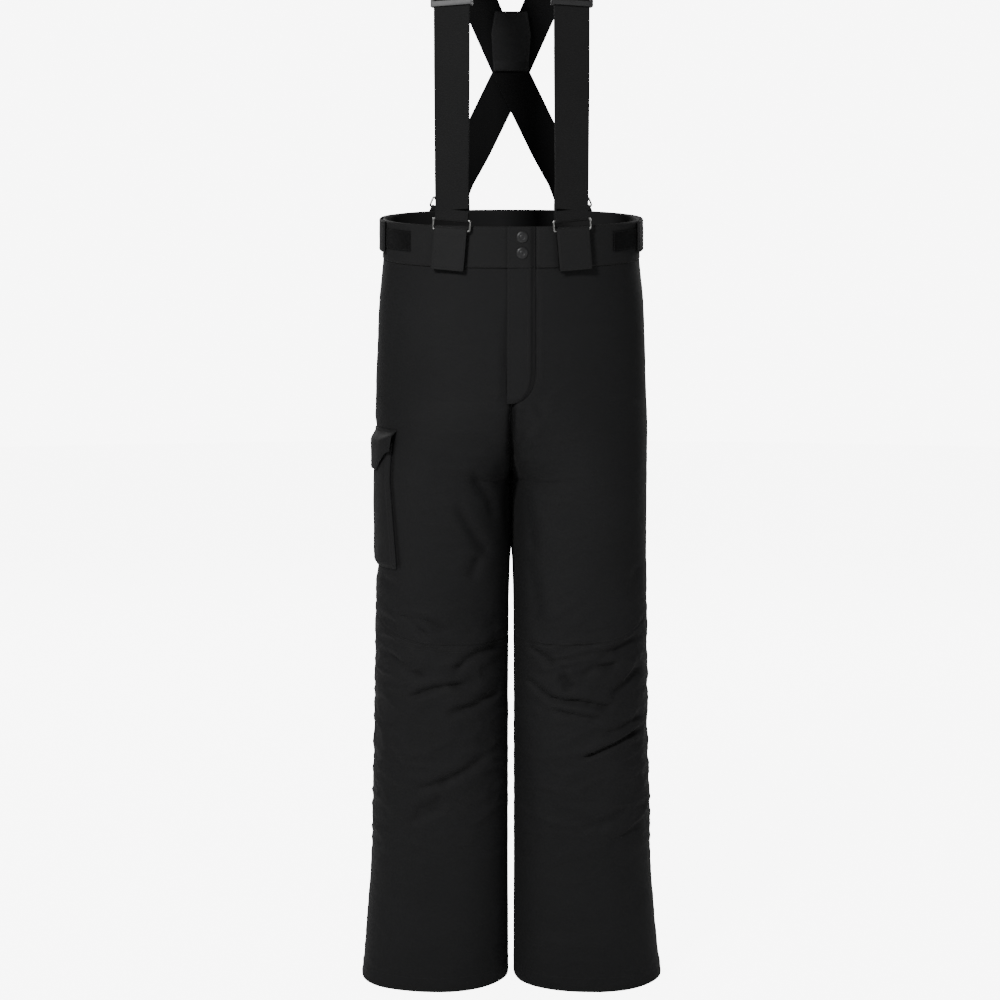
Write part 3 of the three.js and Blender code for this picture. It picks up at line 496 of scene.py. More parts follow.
def woven(name, color, rough=0.75, pitch=0.9, bump=0.25, amount=0.12, spec=0.25, sheen=0.05, twill=True, ribs=None, rib_bump=0.0, fuzz=0.0, use_uv=True):
    """Woven cloth: two sets of threads of the given pitch in millimetres, on the piece's own lengths."""
    m, nt, b = base_material(name, color, rough, spec=spec, sheen=sheen)
    tc = N(nt, "ShaderNodeTexCoord")
    coord = tc.outputs["UV"] if use_uv else tc.outputs["Object"]
    vary(nt, b, color, amount, 9 if use_uv else 9, tc.outputs["Object"])
    waves = []
    for k, direction in enumerate(("X", "Y")):
        mp = N(nt, "ShaderNodeMapping")
        mp.inputs["Rotation"].default_value = (0, 0, math.radians(45) if twill and k == 0 else 0)
        nt.links.new(coord, mp.inputs["Vector"])
        w = N(nt, "ShaderNodeTexWave", wave_type="BANDS", bands_direction=direction, wave_profile="SIN")
        w.inputs["Scale"].default_value = 0.314 / (pitch * MM)
        w.inputs["Distortion"].default_value = 0.6
        w.inputs["Detail"].default_value = 1
        w.inputs["Detail Scale"].default_value = 2
        nt.links.new(mp.outputs["Vector"], w.inputs["Vector"])
        waves.append(w)
    mul = N(nt, "ShaderNodeMath", operation="MULTIPLY")
    nt.links.new(waves[0].outputs["Fac"], mul.inputs[0])
    nt.links.new(waves[1].outputs["Fac"], mul.inputs[1])
    last = mul.outputs[0]
    if ribs:
        mp = N(nt, "ShaderNodeMapping")
        nt.links.new(coord, mp.inputs["Vector"])
        w = N(nt, "ShaderNodeTexWave", wave_type="BANDS", bands_direction=ribs[0], wave_profile="SIN")
        w.inputs["Scale"].default_value = 0.314 / (ribs[1] * MM)
        nt.links.new(mp.outputs["Vector"], w.inputs["Vector"])
        ma = N(nt, "ShaderNodeMath", operation="MULTIPLY_ADD")
        ma.inputs[1].default_value = rib_bump
        nt.links.new(w.outputs["Fac"], ma.inputs[0])
        nt.links.new(last, ma.inputs[2])
        last = ma.outputs[0]
    if fuzz:
        nz = N(nt, "ShaderNodeTexNoise")
        nz.inputs["Scale"].default_value = 1400
        nz.inputs["Detail"].default_value = 3
        nt.links.new(tc.outputs["Object"], nz.inputs["Vector"])
        ma = N(nt, "ShaderNodeMath", operation="MULTIPLY_ADD")
        ma.inputs[1].default_value = fuzz
        nt.links.new(nz.outputs["Fac"], ma.inputs[0])
        nt.links.new(last, ma.inputs[2])
        last = ma.outputs[0]
    bp = N(nt, "ShaderNodeBump")
    bp.inputs["Strength"].default_value = bump
    bp.inputs["Distance"].default_value = 0.0004
    nt.links.new(last, bp.inputs["Height"])
    nt.links.new(bp.outputs["Normal"], b.inputs["Normal"])
    # threads catch a little more light on their crowns
    rr = N(nt, "ShaderNodeMapRange")
    rr.inputs["To Min"].default_value, rr.inputs["To Max"].default_value = min(1, rough + 0.08), max(0, rough - 0.08)
    nt.links.new(mul.outputs[0], rr.inputs["Value"])
    nt.links.new(rr.outputs["Result"], b.inputs["Roughness"])
    return m


def solid(name, color, rough, metallic=0.0, spec=0.5, grain=220, bump=0.1, amount=0.1, wear=0.0):
    m, nt, b = base_material(name, color, rough, metallic, spec)
    tc = N(nt, "ShaderNodeTexCoord")
    vary(nt, b, color, amount, 60, tc.outputs["Object"])
    nz = N(nt, "ShaderNodeTexNoise")
    nz.inputs["Scale"].default_value = grain * 10
    nz.inputs["Detail"].default_value = 4
    nt.links.new(tc.outputs["Object"], nz.inputs["Vector"])
    bp = N(nt, "ShaderNodeBump")
    bp.inputs["Strength"].default_value = bump
    bp.inputs["Distance"].default_value = 0.0002
    nt.links.new(nz.outputs["Fac"], bp.inputs["Height"])
    nt.links.new(bp.outputs["Normal"], b.inputs["Normal"])
    rr = N(nt, "ShaderNodeMapRange")
    rr.inputs["To Min"].default_value, rr.inputs["To Max"].default_value = max(0, rough - 0.08), min(1, rough + 0.1)
    nt.links.new(nz.outputs["Fac"], rr.inputs["Value"])
    nt.links.new(rr.outputs["Result"], b.inputs["Roughness"])
    return m


def apply_painted_shade(m):
    # multiplies the base colour by a per-vertex attribute that holds painted shade for folds, seams, pocket edge and
    # inner thigh
    nt = m.node_tree
    b = nt.nodes["Principled BSDF"]
    link = b.inputs["Base Color"].links[0]
    at = N(nt, "ShaderNodeAttribute", attribute_name="painted_shade")
    mx = N(nt, "ShaderNodeMix", data_type="RGBA", blend_type="MULTIPLY")
    mx.inputs["Factor"].default_value = 1.0
    nt.links.new(link.from_socket, mx.inputs[6])
    nt.links.new(at.outputs["Color"], mx.inputs[7])
    nt.links.new(mx.outputs[2], b.inputs["Base Color"])
    return m


BLACK = (0.0165, 0.0165, 0.0172)
M_SHELL = woven("shell_cloth", BLACK, rough=0.72, pitch=1.1, bump=0.22, amount=0.07, spec=0.22, sheen=0.03)
# leg panels: the shell cloth, with painted shade from a per-vertex attribute
M_PANEL_PAINTED_SHADE = apply_painted_shade(woven("leg_cloth_painted_shade", BLACK, rough=0.72, pitch=1.1, bump=0.22, amount=0.07, spec=0.2, sheen=0.03))
M_BAND = woven("waistband_cloth", (0.0185, 0.0185, 0.019), rough=0.74, pitch=1.1, bump=0.22, amount=0.07, spec=0.22, sheen=0.03)
M_TAB = woven("tab_cloth", (0.019, 0.019, 0.0195), rough=0.72, pitch=1.3, bump=0.3, amount=0.08, spec=0.25, sheen=0.03)
M_WEB = woven("elastic_webbing", (0.0175, 0.0175, 0.018), rough=0.85, pitch=1.0, bump=0.5, amount=0.06, spec=0.2, sheen=0.05, twill=False, ribs=("Y", 2.0), rib_bump=1.4)
# a darker copy of the webbing: painted shade for the face turned to the wearer
M_WEB_PAINTED_SHADE = woven("elastic_webbing_inside", (0.0098, 0.0098, 0.0102), rough=0.92, pitch=1.0, bump=0.5, amount=0.06, spec=0.08, twill=False, ribs=("Y", 2.0), rib_bump=1.4)
M_LINING = woven("lining_taffeta", (0.0065, 0.0065, 0.007), rough=0.5, pitch=0.5, bump=0.12, amount=0.1, spec=0.3, twill=False)
M_GAITER = woven("gaiter_taffeta", (0.011, 0.011, 0.0115), rough=0.48, pitch=0.5, bump=0.12, amount=0.1, spec=0.3, twill=False)
M_ELASTIC = woven("knitted_elastic", (0.012, 0.012, 0.012), rough=0.9, pitch=1.2, bump=0.5, spec=0.15, twill=False, ribs=("Y", 3.0), rib_bump=2.0)
M_LOOP = woven("loop_pile", (0.0045, 0.0045, 0.0048), rough=0.97, pitch=0.8, bump=0.8, amount=0.2, spec=0.1, twill=False, fuzz=4.0)
M_HOOK = woven("hook_tape", (0.008, 0.008, 0.008), rough=0.6, pitch=1.6, bump=1.0, spec=0.3, twill=False)
M_PATCH = woven("crossing_patch", (0.0145, 0.0145, 0.0152), rough=0.6, pitch=1.2, bump=0.2, amount=0.08, spec=0.3)
M_ZIPTAPE = woven("zipper_tape", (0.01, 0.01, 0.01), rough=0.8, pitch=0.9, bump=0.4, spec=0.2, twill=False)
M_COIL = solid("zipper_coil", (0.014, 0.014, 0.014), 0.45, spec=0.4)
M_THREAD = solid("sewing_thread", (0.026, 0.026, 0.027), 0.7, spec=0.3, grain=500, bump=0.3)
M_RING = solid("nickel_wire", (0.42, 0.42, 0.41), 0.3, metallic=1.0, grain=90, bump=0.08, amount=0.12)
M_ADJ = solid("adjuster_grey", (0.036, 0.036, 0.037), 0.42, metallic=0.2, spec=0.5, grain=160, bump=0.12)
M_CAP = solid("snap_cap_grey", (0.038, 0.038, 0.039), 0.4, metallic=0.3, spec=0.45, grain=160, bump=0.1)
M_STUD = solid("snap_stud_metal", (0.42, 0.42, 0.41), 0.32, metallic=1.0, grain=120)
M_ZIPMETAL = solid("zipper_metal", (0.16, 0.16, 0.16), 0.38, metallic=0.9, grain=120)

# =====================================================================
# Folds and creases of the shell, heights in millimetres
# =====================================================================
# each: points (x, z) on the front, half width, depth, height of the roll above it
FRONT_FOLDS = [
  ([(-169, -576), (-140, -594), (-111, -605)], 5, 2.6, 1.6),
  ([(-80, -601), (-51, -578), (-10, -564)], 5, 2.4, 1.8),
  ([(-143, -637), (-112, -624), (-82, -617), (-53, -617)], 3.6, 3.0, 1.8),
  ([(-92, -658), (-52, -646), (-12, -628)], 5, 3.0, 1.8),
  ([(-168, -705), (-141, -732)], 6, 2.2, 1.4),
  ([(-136, -762), (-105, -754), (-77, -742), (-27, -715)], 5, 2.8, 1.8),
  ([(-139, -802), (-110, -790), (-83, -774)], 7, 2.2, 1.4),
  ([(-130, -790), (-100, -772), (-92, -764)], 5, 1.4, 0.8),
  ([(19, -564), (58, -590)], 4.5, 2.4, 1.4),
  ([(63, -598), (80, -625)], 5, 2.4, 1.2),
  ([(89, -600), (118, -592), (145, -590)], 4, 2.4, 1.4),
  ([(109, -578), (145, -566), (170, -553)], 4.5, 2.2, 1.4),
  ([(10, -606), (34, -622), (54, -635), (98, -640), (145, -652)], 3.6, 3.4, 2.0),
  ([(50, -650), (80, -656), (121, -664)], 3.6, 2.6, 1.4),
  ([(127, -637), (150, -618), (176, -594)], 6, 2.4, 1.6),
  ([(119, -685), (150, -676), (178, -660)], 5, 2.4, 1.4),
  ([(88, -718), (112, -709), (145, -696), (180, -680)], 2.6, 4.2, 2.2),
  ([(90, -807), (130, -803), (166, -789)], 7, 2.2, 1.4),
  ([(128, -835), (178, -813)], 7, 2.0, 1.2),
  ([(-162, -518), (-134, -529), (-107, -556)], 3.2, 1.8, 1.2),
  ([(-141, -518), (-112, -530), (-81, -545)], 3.2, 2.0, 1.2),
  ([(-176, -529), (-149, -539)], 4, 1.6, 1.0),
  ([(-74, -370), (-58, -398), (-44, -423), (-25, -449)], 5.5, 2.2, 1.2),
  ([(-54, -330), (-40, -352), (-28, -370), (-16, -400)], 6, 2.6, 1.2),
  ([(-41, -442), (-54, -476)], 6, 1.8, 0.9),
  ([(-175, -476), (-146, -489)], 5, 1.5, 1.0),
  ([(12, -350), (22, -400), (30, -450)], 5.5, 1.8, 1.0),
  ([(14, -430), (32, -500), (34, -548)], 7, 1.6, 0.8),
  ([(170, -455), (158, -500)], 7, 1.3, 0.8),
  ([(10, -248), (22, -262), (26, -285)], 4, 1.3, 0.8),
  ([(8, -258), (16, -276), (17, -300)], 4, 1.3, 0.8),
  ([(30, -236), (40, -262)], 5, 0.9, 0.5),
  ([(-30, -520), (-12, -600)], 8, 1.4, 0.5),
  ([(12, -700), (20, -780), (26, -830)], 8, 1.3, 0.6),
  ([(150, -930), (176, -900)], 9, 1.0, 0.6),
  ([(-60, -940), (-110, -925), (-150, -900)], 10, 0.9, 0.5),
  ([(40, -960), (90, -948), (140, -955)], 10, 0.8, 0.5),
]
BACK_FOLDS = [
  ([(-160, -330), (-100, -352), (-40, -345)], 6, 2.6, 1.6),
  ([(160, -335), (100, -350), (40, -343)], 6, 2.6, 1.6),
  ([(-150, -372), (-90, -392), (-30, -380)], 7, 1.8, 1.2),
  ([(150, -380), (90, -396), (35, -384)], 7, 1.8, 1.2),
  ([(-165, -590), (-100, -604), (-20, -588)], 4.5, 3.0, 2.0),
  ([(165, -596), (95, -610), (18, -594)], 4.5, 3.0, 2.0),
  ([(-160, -630), (-90, -622), (-20, -640)], 4, 3.0, 1.8),
  ([(160, -634), (90, -624), (22, -646)], 4, 3.0, 1.8),
  ([(-140, -668), (-80, -680), (-30, -672)], 5, 2.2, 1.4),
  ([(150, -672), (85, -684), (30, -676)], 5, 2.2, 1.4),
  ([(-60, -300), (-20, -330)], 7, 1.8, 1.0),
  ([(60, -300), (22, -330)], 7, 1.8, 1.0),
  ([(-150, -820), (-80, -840)], 8, 1.4, 0.8),
  ([(60, -800), (140, -830)], 8, 1.4, 0.8),
]


def fold_height(x, z, folds):
    h = np.zeros_like(x)
    for pts, w, depth, roll in folds:
        w, depth, roll = w * 1.25, depth * 1.75, roll * 1.6
        pts = catmull(np.array(pts, float), 4) if len(pts) > 2 else np.array(pts, float)
        seg = np.diff(pts, axis=0)
        L = np.linalg.norm(seg, axis=1)
        acc = np.concatenate([[0], np.cumsum(L)])
        best = np.full(x.shape, 1e9)
        sgn = np.zeros_like(x)
        par = np.zeros_like(x)
        lo, hi = pts.min(0) - 5 * w, pts.max(0) + 5 * w
        m = (x > lo[0]) & (x < hi[0]) & (z > lo[1]) & (z < hi[1])
        if not m.any():
            continue
        xm, zm = x[m], z[m]
        bm, sm, pm = best[m], sgn[m], par[m]
        for k in range(len(seg)):
            t = np.clip(((xm - pts[k, 0]) * seg[k, 0] + (zm - pts[k, 1]) * seg[k, 1]) / L[k] ** 2, 0, 1)
            dx, dz = xm - pts[k, 0] - t * seg[k, 0], zm - pts[k, 1] - t * seg[k, 1]
            d = np.hypot(dx, dz)
            nx, nz = -seg[k, 1] / L[k], seg[k, 0] / L[k]
            if nz < 0:
                nx, nz = -nx, -nz
            c = d < bm
            bm = np.where(c, d, bm)
            sm = np.where(c, np.where(dx * nx + dz * nz >= 0, 1.0, -1.0), sm)
            pm = np.where(c, (acc[k] + t * L[k]) / acc[-1], pm)
        wv = w * (0.85 + 0.3 * pm)
        taper = smooth(0, 0.22, pm) * (1 - smooth(0.8, 1.0, pm))
        taper = np.maximum(taper, 0.0)
        sd = bm * sm
        dh = -depth * np.exp(-(sd / wv) ** 2) + roll * np.exp(-((sd - 2.1 * wv) / (1.5 * wv)) ** 2) + 0.5 * roll * np.exp(-((sd + 2.0 * wv) / (1.4 * wv)) ** 2)
        h[m] += dh * taper
    return h


def shell_height(P, side, back, z, psi):
    """Height of the cloth over the smooth surface: sags, folds and puckers."""
    x = P[..., 0]
    q = P * 1.0
    # slow rise and fall of the insulated cloth
    low = noise3(q / np.array([95.0, 95.0, 150.0]) + 3.1) * 1.5 + noise3(q / np.array([48.0, 48.0, 80.0]) + 11.7) * 0.7
    knee = smooth(-470, -560, z) * (1 - smooth(-780, -900, z))
    crot = smooth(-220, -330, z) * (1 - smooth(-440, -520, z)) * (1 - smooth(70, 130, np.abs(x)))
    hem = smooth(-900, -1037, z)
    tilt = np.stack([q[..., 0] + 0.35 * q[..., 2] * side, q[..., 1], q[..., 2] - 0.25 * q[..., 0] * side], -1)
    wr = ridged(tilt / np.array([75.0, 75.0, 26.0]) + 5.3)
    wr = np.clip(wr - 0.35, 0, 1) ** 1.3
    wr2 = ridged(tilt / np.array([42.0, 42.0, 19.0]) + 9.1)
    wr2 = np.clip(wr2 - 0.45, 0, 1) ** 1.2
    h = low * (0.6 + 0.4 * knee)
    h = h + wr * (3.4 * knee + 0.6 + 0.9 * crot + 0.5 * hem) * (1 - 0.5 * smooth(-240, -60, z))
    h = h + wr2 * (1.9 * knee + 0.4 * crot + 0.2)
    h = h + (0.6 * fold_height(x, z, BACK_FOLDS) if back else fold_height(x, z, FRONT_FOLDS))
    # small puckers running off the seams
    along = P[..., 2]
    c_out = np.exp(-(np.abs(P[..., 1]) / 16.0) ** 2)
    h = h + c_out * 0.22 * np.sin(along / 24.0 + 2.2 * noise3(q / 60.0)) * (0.4 + noise3(q / 35.0 + 2.0))
    c_mid = np.exp(-(np.abs(x) / 15.0) ** 2) * smooth(-200, -235, z) * (1 - smooth(-345, -360, z))
    h = h + c_mid * 0.9 * np.sin(along / 5.2 + 3 * noise3(q / 40.0 + 1.0))
    # the crotch line sinks where the two halves meet
    c = np.exp(-(np.abs(x) / 6.0) ** 2) * smooth(-178, -300, z) * np.where(z > -350, 1, 0)
    h = h - c * 4.0
    if back:
        c = np.exp(-(np.abs(x) / 5.0) ** 2) * smooth(-60, -140, z) * np.where(z > -345, 1, 0)
        h = h - c * 1.4
        h = h + 1.0 * np.exp(-((z + 118 - 0.1 * np.abs(x)) / 2.2) ** 2) * -0.9
    # hem: soft flutes, and a stiff folded edge
    h = h + hem * 1.0 * np.sin(psi * 5.0 + 1.3 * side) * smooth(-960, -1037, z)
    h = h + 0.45 * smooth(-1016, -1019, z)
    # quiet where the legs would meet, and where the flat pieces lie on the cloth
    inner = 1 - np.exp(-(np.abs(x) / 9.0) ** 2) * np.where(z < -345, 1, 0)
    h = np.where(h > 0, h * inner, h * (0.4 + 0.6 * inner))
    return h


def lower_limit(h, lo, hi):
    mid = (lo + hi) / 2
    r = (hi - lo) / 2
    return mid + r * np.tanh((h - mid) / r)


KNEE_OUT, KNEE_IN, PSI0 = -513.0, -562.0, -0.0005


def knee_seam(psi):
    t = np.minimum(1, np.abs(psi) / (0.55 * math.pi))
    return KNEE_OUT + (KNEE_IN - KNEE_OUT) * (1 - (1 - t) ** 2)


def psi_end(side, z, back, lining=False):
    z = np.asarray(z, float)
    x = np.full(z.shape, SEAM)
    if not back:
        if lining:
            x = np.where(z > FLY_BOTTOM - 1, 34.0, SEAM + 0.5)
        elif side > 0:
            x = np.where(z > FLY_BOTTOM - 1, np.maximum(SEAM, (FLY_X + 0.35) * fly_curve(z)), SEAM)
        else:
            x = np.where(z > -240.8, 0.7, SEAM)
    e = psi_at_x(z, x, back, side)
    lim = math.pi - PSI0
    e = np.clip(e, -lim, lim)
    return np.where(z <= CROTCH_Z, (-1 if back else 1) * lim, e)


def panel_grid(side, back, rows, cols, lining=False, gap=0.0):
    """rows: (nv,) or (nv, psi-function) heights. Returns psi, z grids (nu, nv)."""
    sg = -1 if back else 1
    t = np.linspace(0, 1, cols)
    psi = np.zeros((cols, len(rows)))
    zz = np.zeros_like(psi)
    for j, row in enumerate(rows):
        zr = row(sg * math.pi / 2) if callable(row) else row
        end = float(psi_end(side, np.array(float(zr)), back, lining))
        start = sg * PSI0
        half = sg * (math.pi / 2) * (1 + smooth(-240, -430, zr)) / 2
        psi[:, j] = np.where(t <= 0.5, start + (half - start) * t / 0.5, half + (end - half) * (t - 0.5) / 0.5)
        zz[:, j] = row(psi[:, j]) if callable(row) else row
    return psi, zz


def ease_rows(a, b, step, extra=()):
    n = max(2, int(round(abs(b - a) / step)) + 1)
    z = list(np.linspace(a, b, n))
    for e in extra:
        if min(a, b) < e < max(a, b) and min(abs(q - e) for q in z) > 0.6:
            z.append(e)
    return sorted(z, reverse=True)


def edge_dist(G):
    """Distance of each grid point from the four edges, along the grid."""
    du = np.linalg.norm(np.diff(G, axis=0), axis=-1)
    dv = np.linalg.norm(np.diff(G, axis=1), axis=-1)
    u0 = np.concatenate([np.zeros((1, G.shape[1])), np.cumsum(du, 0)])
    u1 = u0[-1:] - u0
    v0 = np.concatenate([np.zeros((G.shape[0], 1)), np.cumsum(dv, 1)], 1)
    v1 = v0[:, -1:] - v0
    return u0, u1, v0, v1


SHELL_T = 3.8
threads = Thread()
fly_threads = Thread()
PANEL = {}


def declare(o, G, wrap=False):
    """Works out the width, length and area of this piece's cloth from its own lengths; nothing is kept."""
    if wrap:
        G = np.concatenate([G, G[:1]])
    wid = float(np.linalg.norm(np.diff(G, axis=0), axis=-1).sum(0).max()) * MM
    ln = float(np.linalg.norm(np.diff(G, axis=1), axis=-1).sum(1).max()) * MM
    a = float(np.linalg.norm(np.cross(np.diff(G, axis=0)[:, :-1], np.diff(G, axis=1)[:-1]), axis=-1).sum()) * 1e-6 * 0.98


def shell_panel(name, side, back, rows, cols, seams, node, tk=SHELL_T):
    psi, zz = panel_grid(side, back, rows, cols)
    P = surf(side, psi, zz)
    Nn = normal(side, psi, zz)
    # towards the centre seam the two halves meet in one upright plane
    meet = (zz > CROTCH_Z - 2) * (1 - smooth(2, 26, np.abs(P[..., 0])))
    Nn[..., 0] *= 1 - meet
    Nn = unit(Nn + np.array([0, 1.0 if back else -1.0, 0]) * 0.15 * meet[..., None])
    h = shell_height(P, side, back, zz, psi)
    # below the crotch the two inner legs rest against each other
    rest = (zz <= CROTCH_Z) * smooth(-520, -440, zz) * (1 - smooth(6, 34, np.abs(P[..., 0])))
    h = h * (1 - 0.92 * rest)
    P[..., 0] -= side * 0.30 * smooth(-462, -440, zz) * np.where(zz < -240.9, 1, 0) * np.exp(-(P[..., 0] / 4.0) ** 2)
    u0, u1, v0, v1 = edge_dist(P)
    # the flat pieces lie here: waistband above, pocket on the thigh
    calm = np.ones_like(h)
    if side < 0:
        yy = P[..., 1]
        calm *= 1 - (smooth(-262, -282, zz) * (1 - smooth(-462, -480, zz)) * smooth(-92, -83, yy) * (1 - smooth(82, 94, yy)) * (P[..., 0] < -60))
    calm *= 1 - smooth(-110, -62, zz) * 0.8
    if not back and side > 0:
        calm *= 1 - 0.85 * (1 - smooth(34, 52, P[..., 0])) * smooth(-262, -232, zz)
    if not back and side < 0:
        calm *= 1 - 0.85 * (1 - smooth(8, 26, -P[..., 0])) * smooth(-262, -232, zz)
    h = h * calm
    if not back:
        # the front sinks beside the fly and along the centre seam
        h = h - 2.6 * np.exp(-((P[..., 0] + 9.5) / 3.4) ** 2) * smooth(-95, -190, zz) * (1 - smooth(-238, -262, zz)) * (side < 0)
        h = h - 1.0 * np.exp(-((P[..., 0] - 33.5) / 2.4) ** 2) * smooth(-70, -100, zz) * (1 - smooth(-205, -225, zz)) * (side > 0)
    h = lower_limit(h, -7.5, 5.0)
    if not back:
        cut = smooth(-185, -262, zz) * np.where(zz > -346, 1.0, 0.0)
        h = h - 8.0 * cut * np.exp(-(np.abs(P[..., 0]) / 3.4) ** 1.6)
    # cloth turns down into its seams
    for key, d in (("u0", u0), ("u1", u1), ("v0", v0), ("v1", v1)):
        if key in seams:
            h = h - seams[key] * np.exp(-(d / 2.4) ** 2) + 0.35 * seams[key] * np.exp(-((d - 6.5) / 4.0) ** 2)
    out = P + Nn * h[..., None]
    for j in range(len(rows)):
        if not callable(rows[j]) and rows[j] <= HEM_Z + 0.01:
            out[:, j, 2] = HEM_Z
    inn = P + Nn * (np.clip(h, -3.5, 3) - tk)[..., None]
    inn[:, -1, 2] = np.where(zz[:, -1] <= HEM_Z + 0.01, HEM_Z, inn[:, -1, 2])
    v, f = grid_solid(out, inn)
    Ng = Nn
    o = new_object(name, v, f, M_PANEL_PAINTED_SHADE, "pants", uv=grid_uv(out), replace=(node,))
    # painted shade: the base colour is darkened in the hollows of folds and beside the seams, where shade falls
    painted_shade = 1 - 0.5 * np.clip((-h - 1.6) / 4.5, 0, 1)
    if not back:
        # painted shade: a dark line down the front along the fly flap's edge and the centre seam
        path = np.interp(-zz, [90, 150, 190, 251, 335, 379, 448, 470], [-7.6, -7.4, -7.2, 0.0, -2.7, -9, -2.5, 0])
        wid = np.interp(-zz, [90, 190, 251, 335, 379, 448, 475], [0.9, 1.8, 3.2, 4.2, 4.5, 3.6, 2.0])
        amt = np.interp(-zz, [88, 125, 190, 251, 430, 470], [0, 0.55, 0.75, 0.93, 0.9, 0.0])
        painted_shade *= 1 - amt * np.exp(-(np.abs(P[..., 0] - path) / wid) ** 2)
        # painted shadow beside the pocket's front edge
        if side < 0:
            painted_shade *= 1 - 0.6 * np.exp(-((P[..., 1] + 81.5) / 2.2) ** 2) * smooth(-284, -296, zz) * (1 - smooth(-455, -466, zz)) * (P[..., 0] < -80)
        # painted shade down the inner thigh, where the legs turn away from the light
        painted_shade *= 1 - 0.38 * smooth(-200, -330, zz) * (1 - smooth(-700, -1000, zz)) * np.exp(-(np.abs(P[..., 0]) / 17.0) ** 2)
    at = o.data.attributes.new("painted_shade", "FLOAT", "POINT")
    at.data.foreach_set("value", np.concatenate([painted_shade.reshape(-1), painted_shade.reshape(-1)]).astype(np.float32))
    sharp_edges(o, 60)
    PANEL[name] = (out, Ng)
    wid = float(np.linalg.norm(np.diff(out, axis=0), axis=-1).sum(0).max()) * MM
    return o


FS, BS = ((3.0, 4.6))
CR = [-341.5, -344.4, -345.2]
for side, nm in ((-1, "right"), (1, "left")):
    cols = int(300 / FS) + 1
    rows = ease_rows(-54.25, -486, FS, CR + [-225, -233, -238, -241, -243, -244.5])
    # rows that bend gradually into the knee seam
    k = 10
    lows = [(lambda p, t=t: -486 + (knee_seam(p) + 0.12 + 486) * t) for t in np.linspace(0, 1, max(6, int(60 / FS)))[1:]]
    shell_panel(f"thigh_front_{nm}", side, False, rows + lows, cols, {"u0": 0.8, "u1": 0.5, "v1": 0.55}, f"front_thigh_panel_{nm}")
    tops = [(lambda p, t=t: (knee_seam(p) - 0.12) * (1 - t) + -590 * t) for t in np.linspace(0, 1, max(6, int(55 / FS)))[:-1]]
    shell_panel(f"shin_front_{nm}", side, False, tops + ease_rows(-590, HEM_Z, FS, [-1016, -1018, -1020, -1035.5]), cols, {"u0": 0.8, "v0": 0.45}, f"front_lower_panel_{nm}")
    rows = ease_rows(-54.6, HEM_Z, BS, CR + [-1016, -1018, -1020, -1035.5])
    shell_panel(f"leg_back_{nm}", side, True, rows, int(330 / BS) + 1, {"u0": 0.9}, f"back_panel_{nm}")

    # topstitching along the seams
    G, Nn = PANEL[f"thigh_front_{nm}"]
    threads.row(*inset(G, Nn, "u0", 3.0))
    threads.row(*[q[2:] for q in inset(G, Nn, "v1", 2.6)])
    G2, N2 = PANEL[f"shin_front_{nm}"]
    threads.row(*[q[2:] for q in inset(G2, N2, "v0", 3.2)])
    threads.row(*[q[2:] for q in inset(G2, N2, "v0", 9.0)])
    threads.row(*inset(G2, N2, "u0", 3.0))
    threads.row(*inset(G2, N2, "v1", 19.0))
    threads.row(*inset(G2, N2, "v1", 3.0))
    G3, N3 = PANEL[f"leg_back_{nm}"]
    threads.row(*inset(G3, N3, "v1", 19.0))
    threads.row(*inset(G3, N3, "v1", 3.0))
    up = (G3[-1, :, 2] > -300)
    P_, Q_ = inset(G3, N3, "u1", 3.2)
    threads.row(P_[up], Q_[up])
# J-shaped stitching beside the fly, and beside the centre seam
G, Nn = PANEL["thigh_front_left"]
P_, Q_ = inset(G, Nn, "u1", 3.0)
up = P_[:, 2] > -262
threads.row(P_[up], Q_[up])
G, Nn = PANEL["thigh_front_right"]
P_, Q_ = inset(G, Nn, "u1", 4.0)
up = (P_[:, 2] < -250) & (P_[:, 2] > -318)
threads.row(P_[up], Q_[up])

# small reinforcement sewn inside where the four seams meet
y_ = np.linspace(-34, 34, 25)
O_ = np.stack([0 * y_, y_, -345.5 - 2.0 * (y_ / 34) ** 2], 1)
v, f, uv = sweep(O_, np.tile([1.0, 0, 0], (25, 1)), np.tile([0, 0, 1.0], (25, 1)), rounded(3.0, 11.0, r=1.4, nw=4))
new_object("crotch_tack", v, f, M_LOOP, "pants", uv=uv)

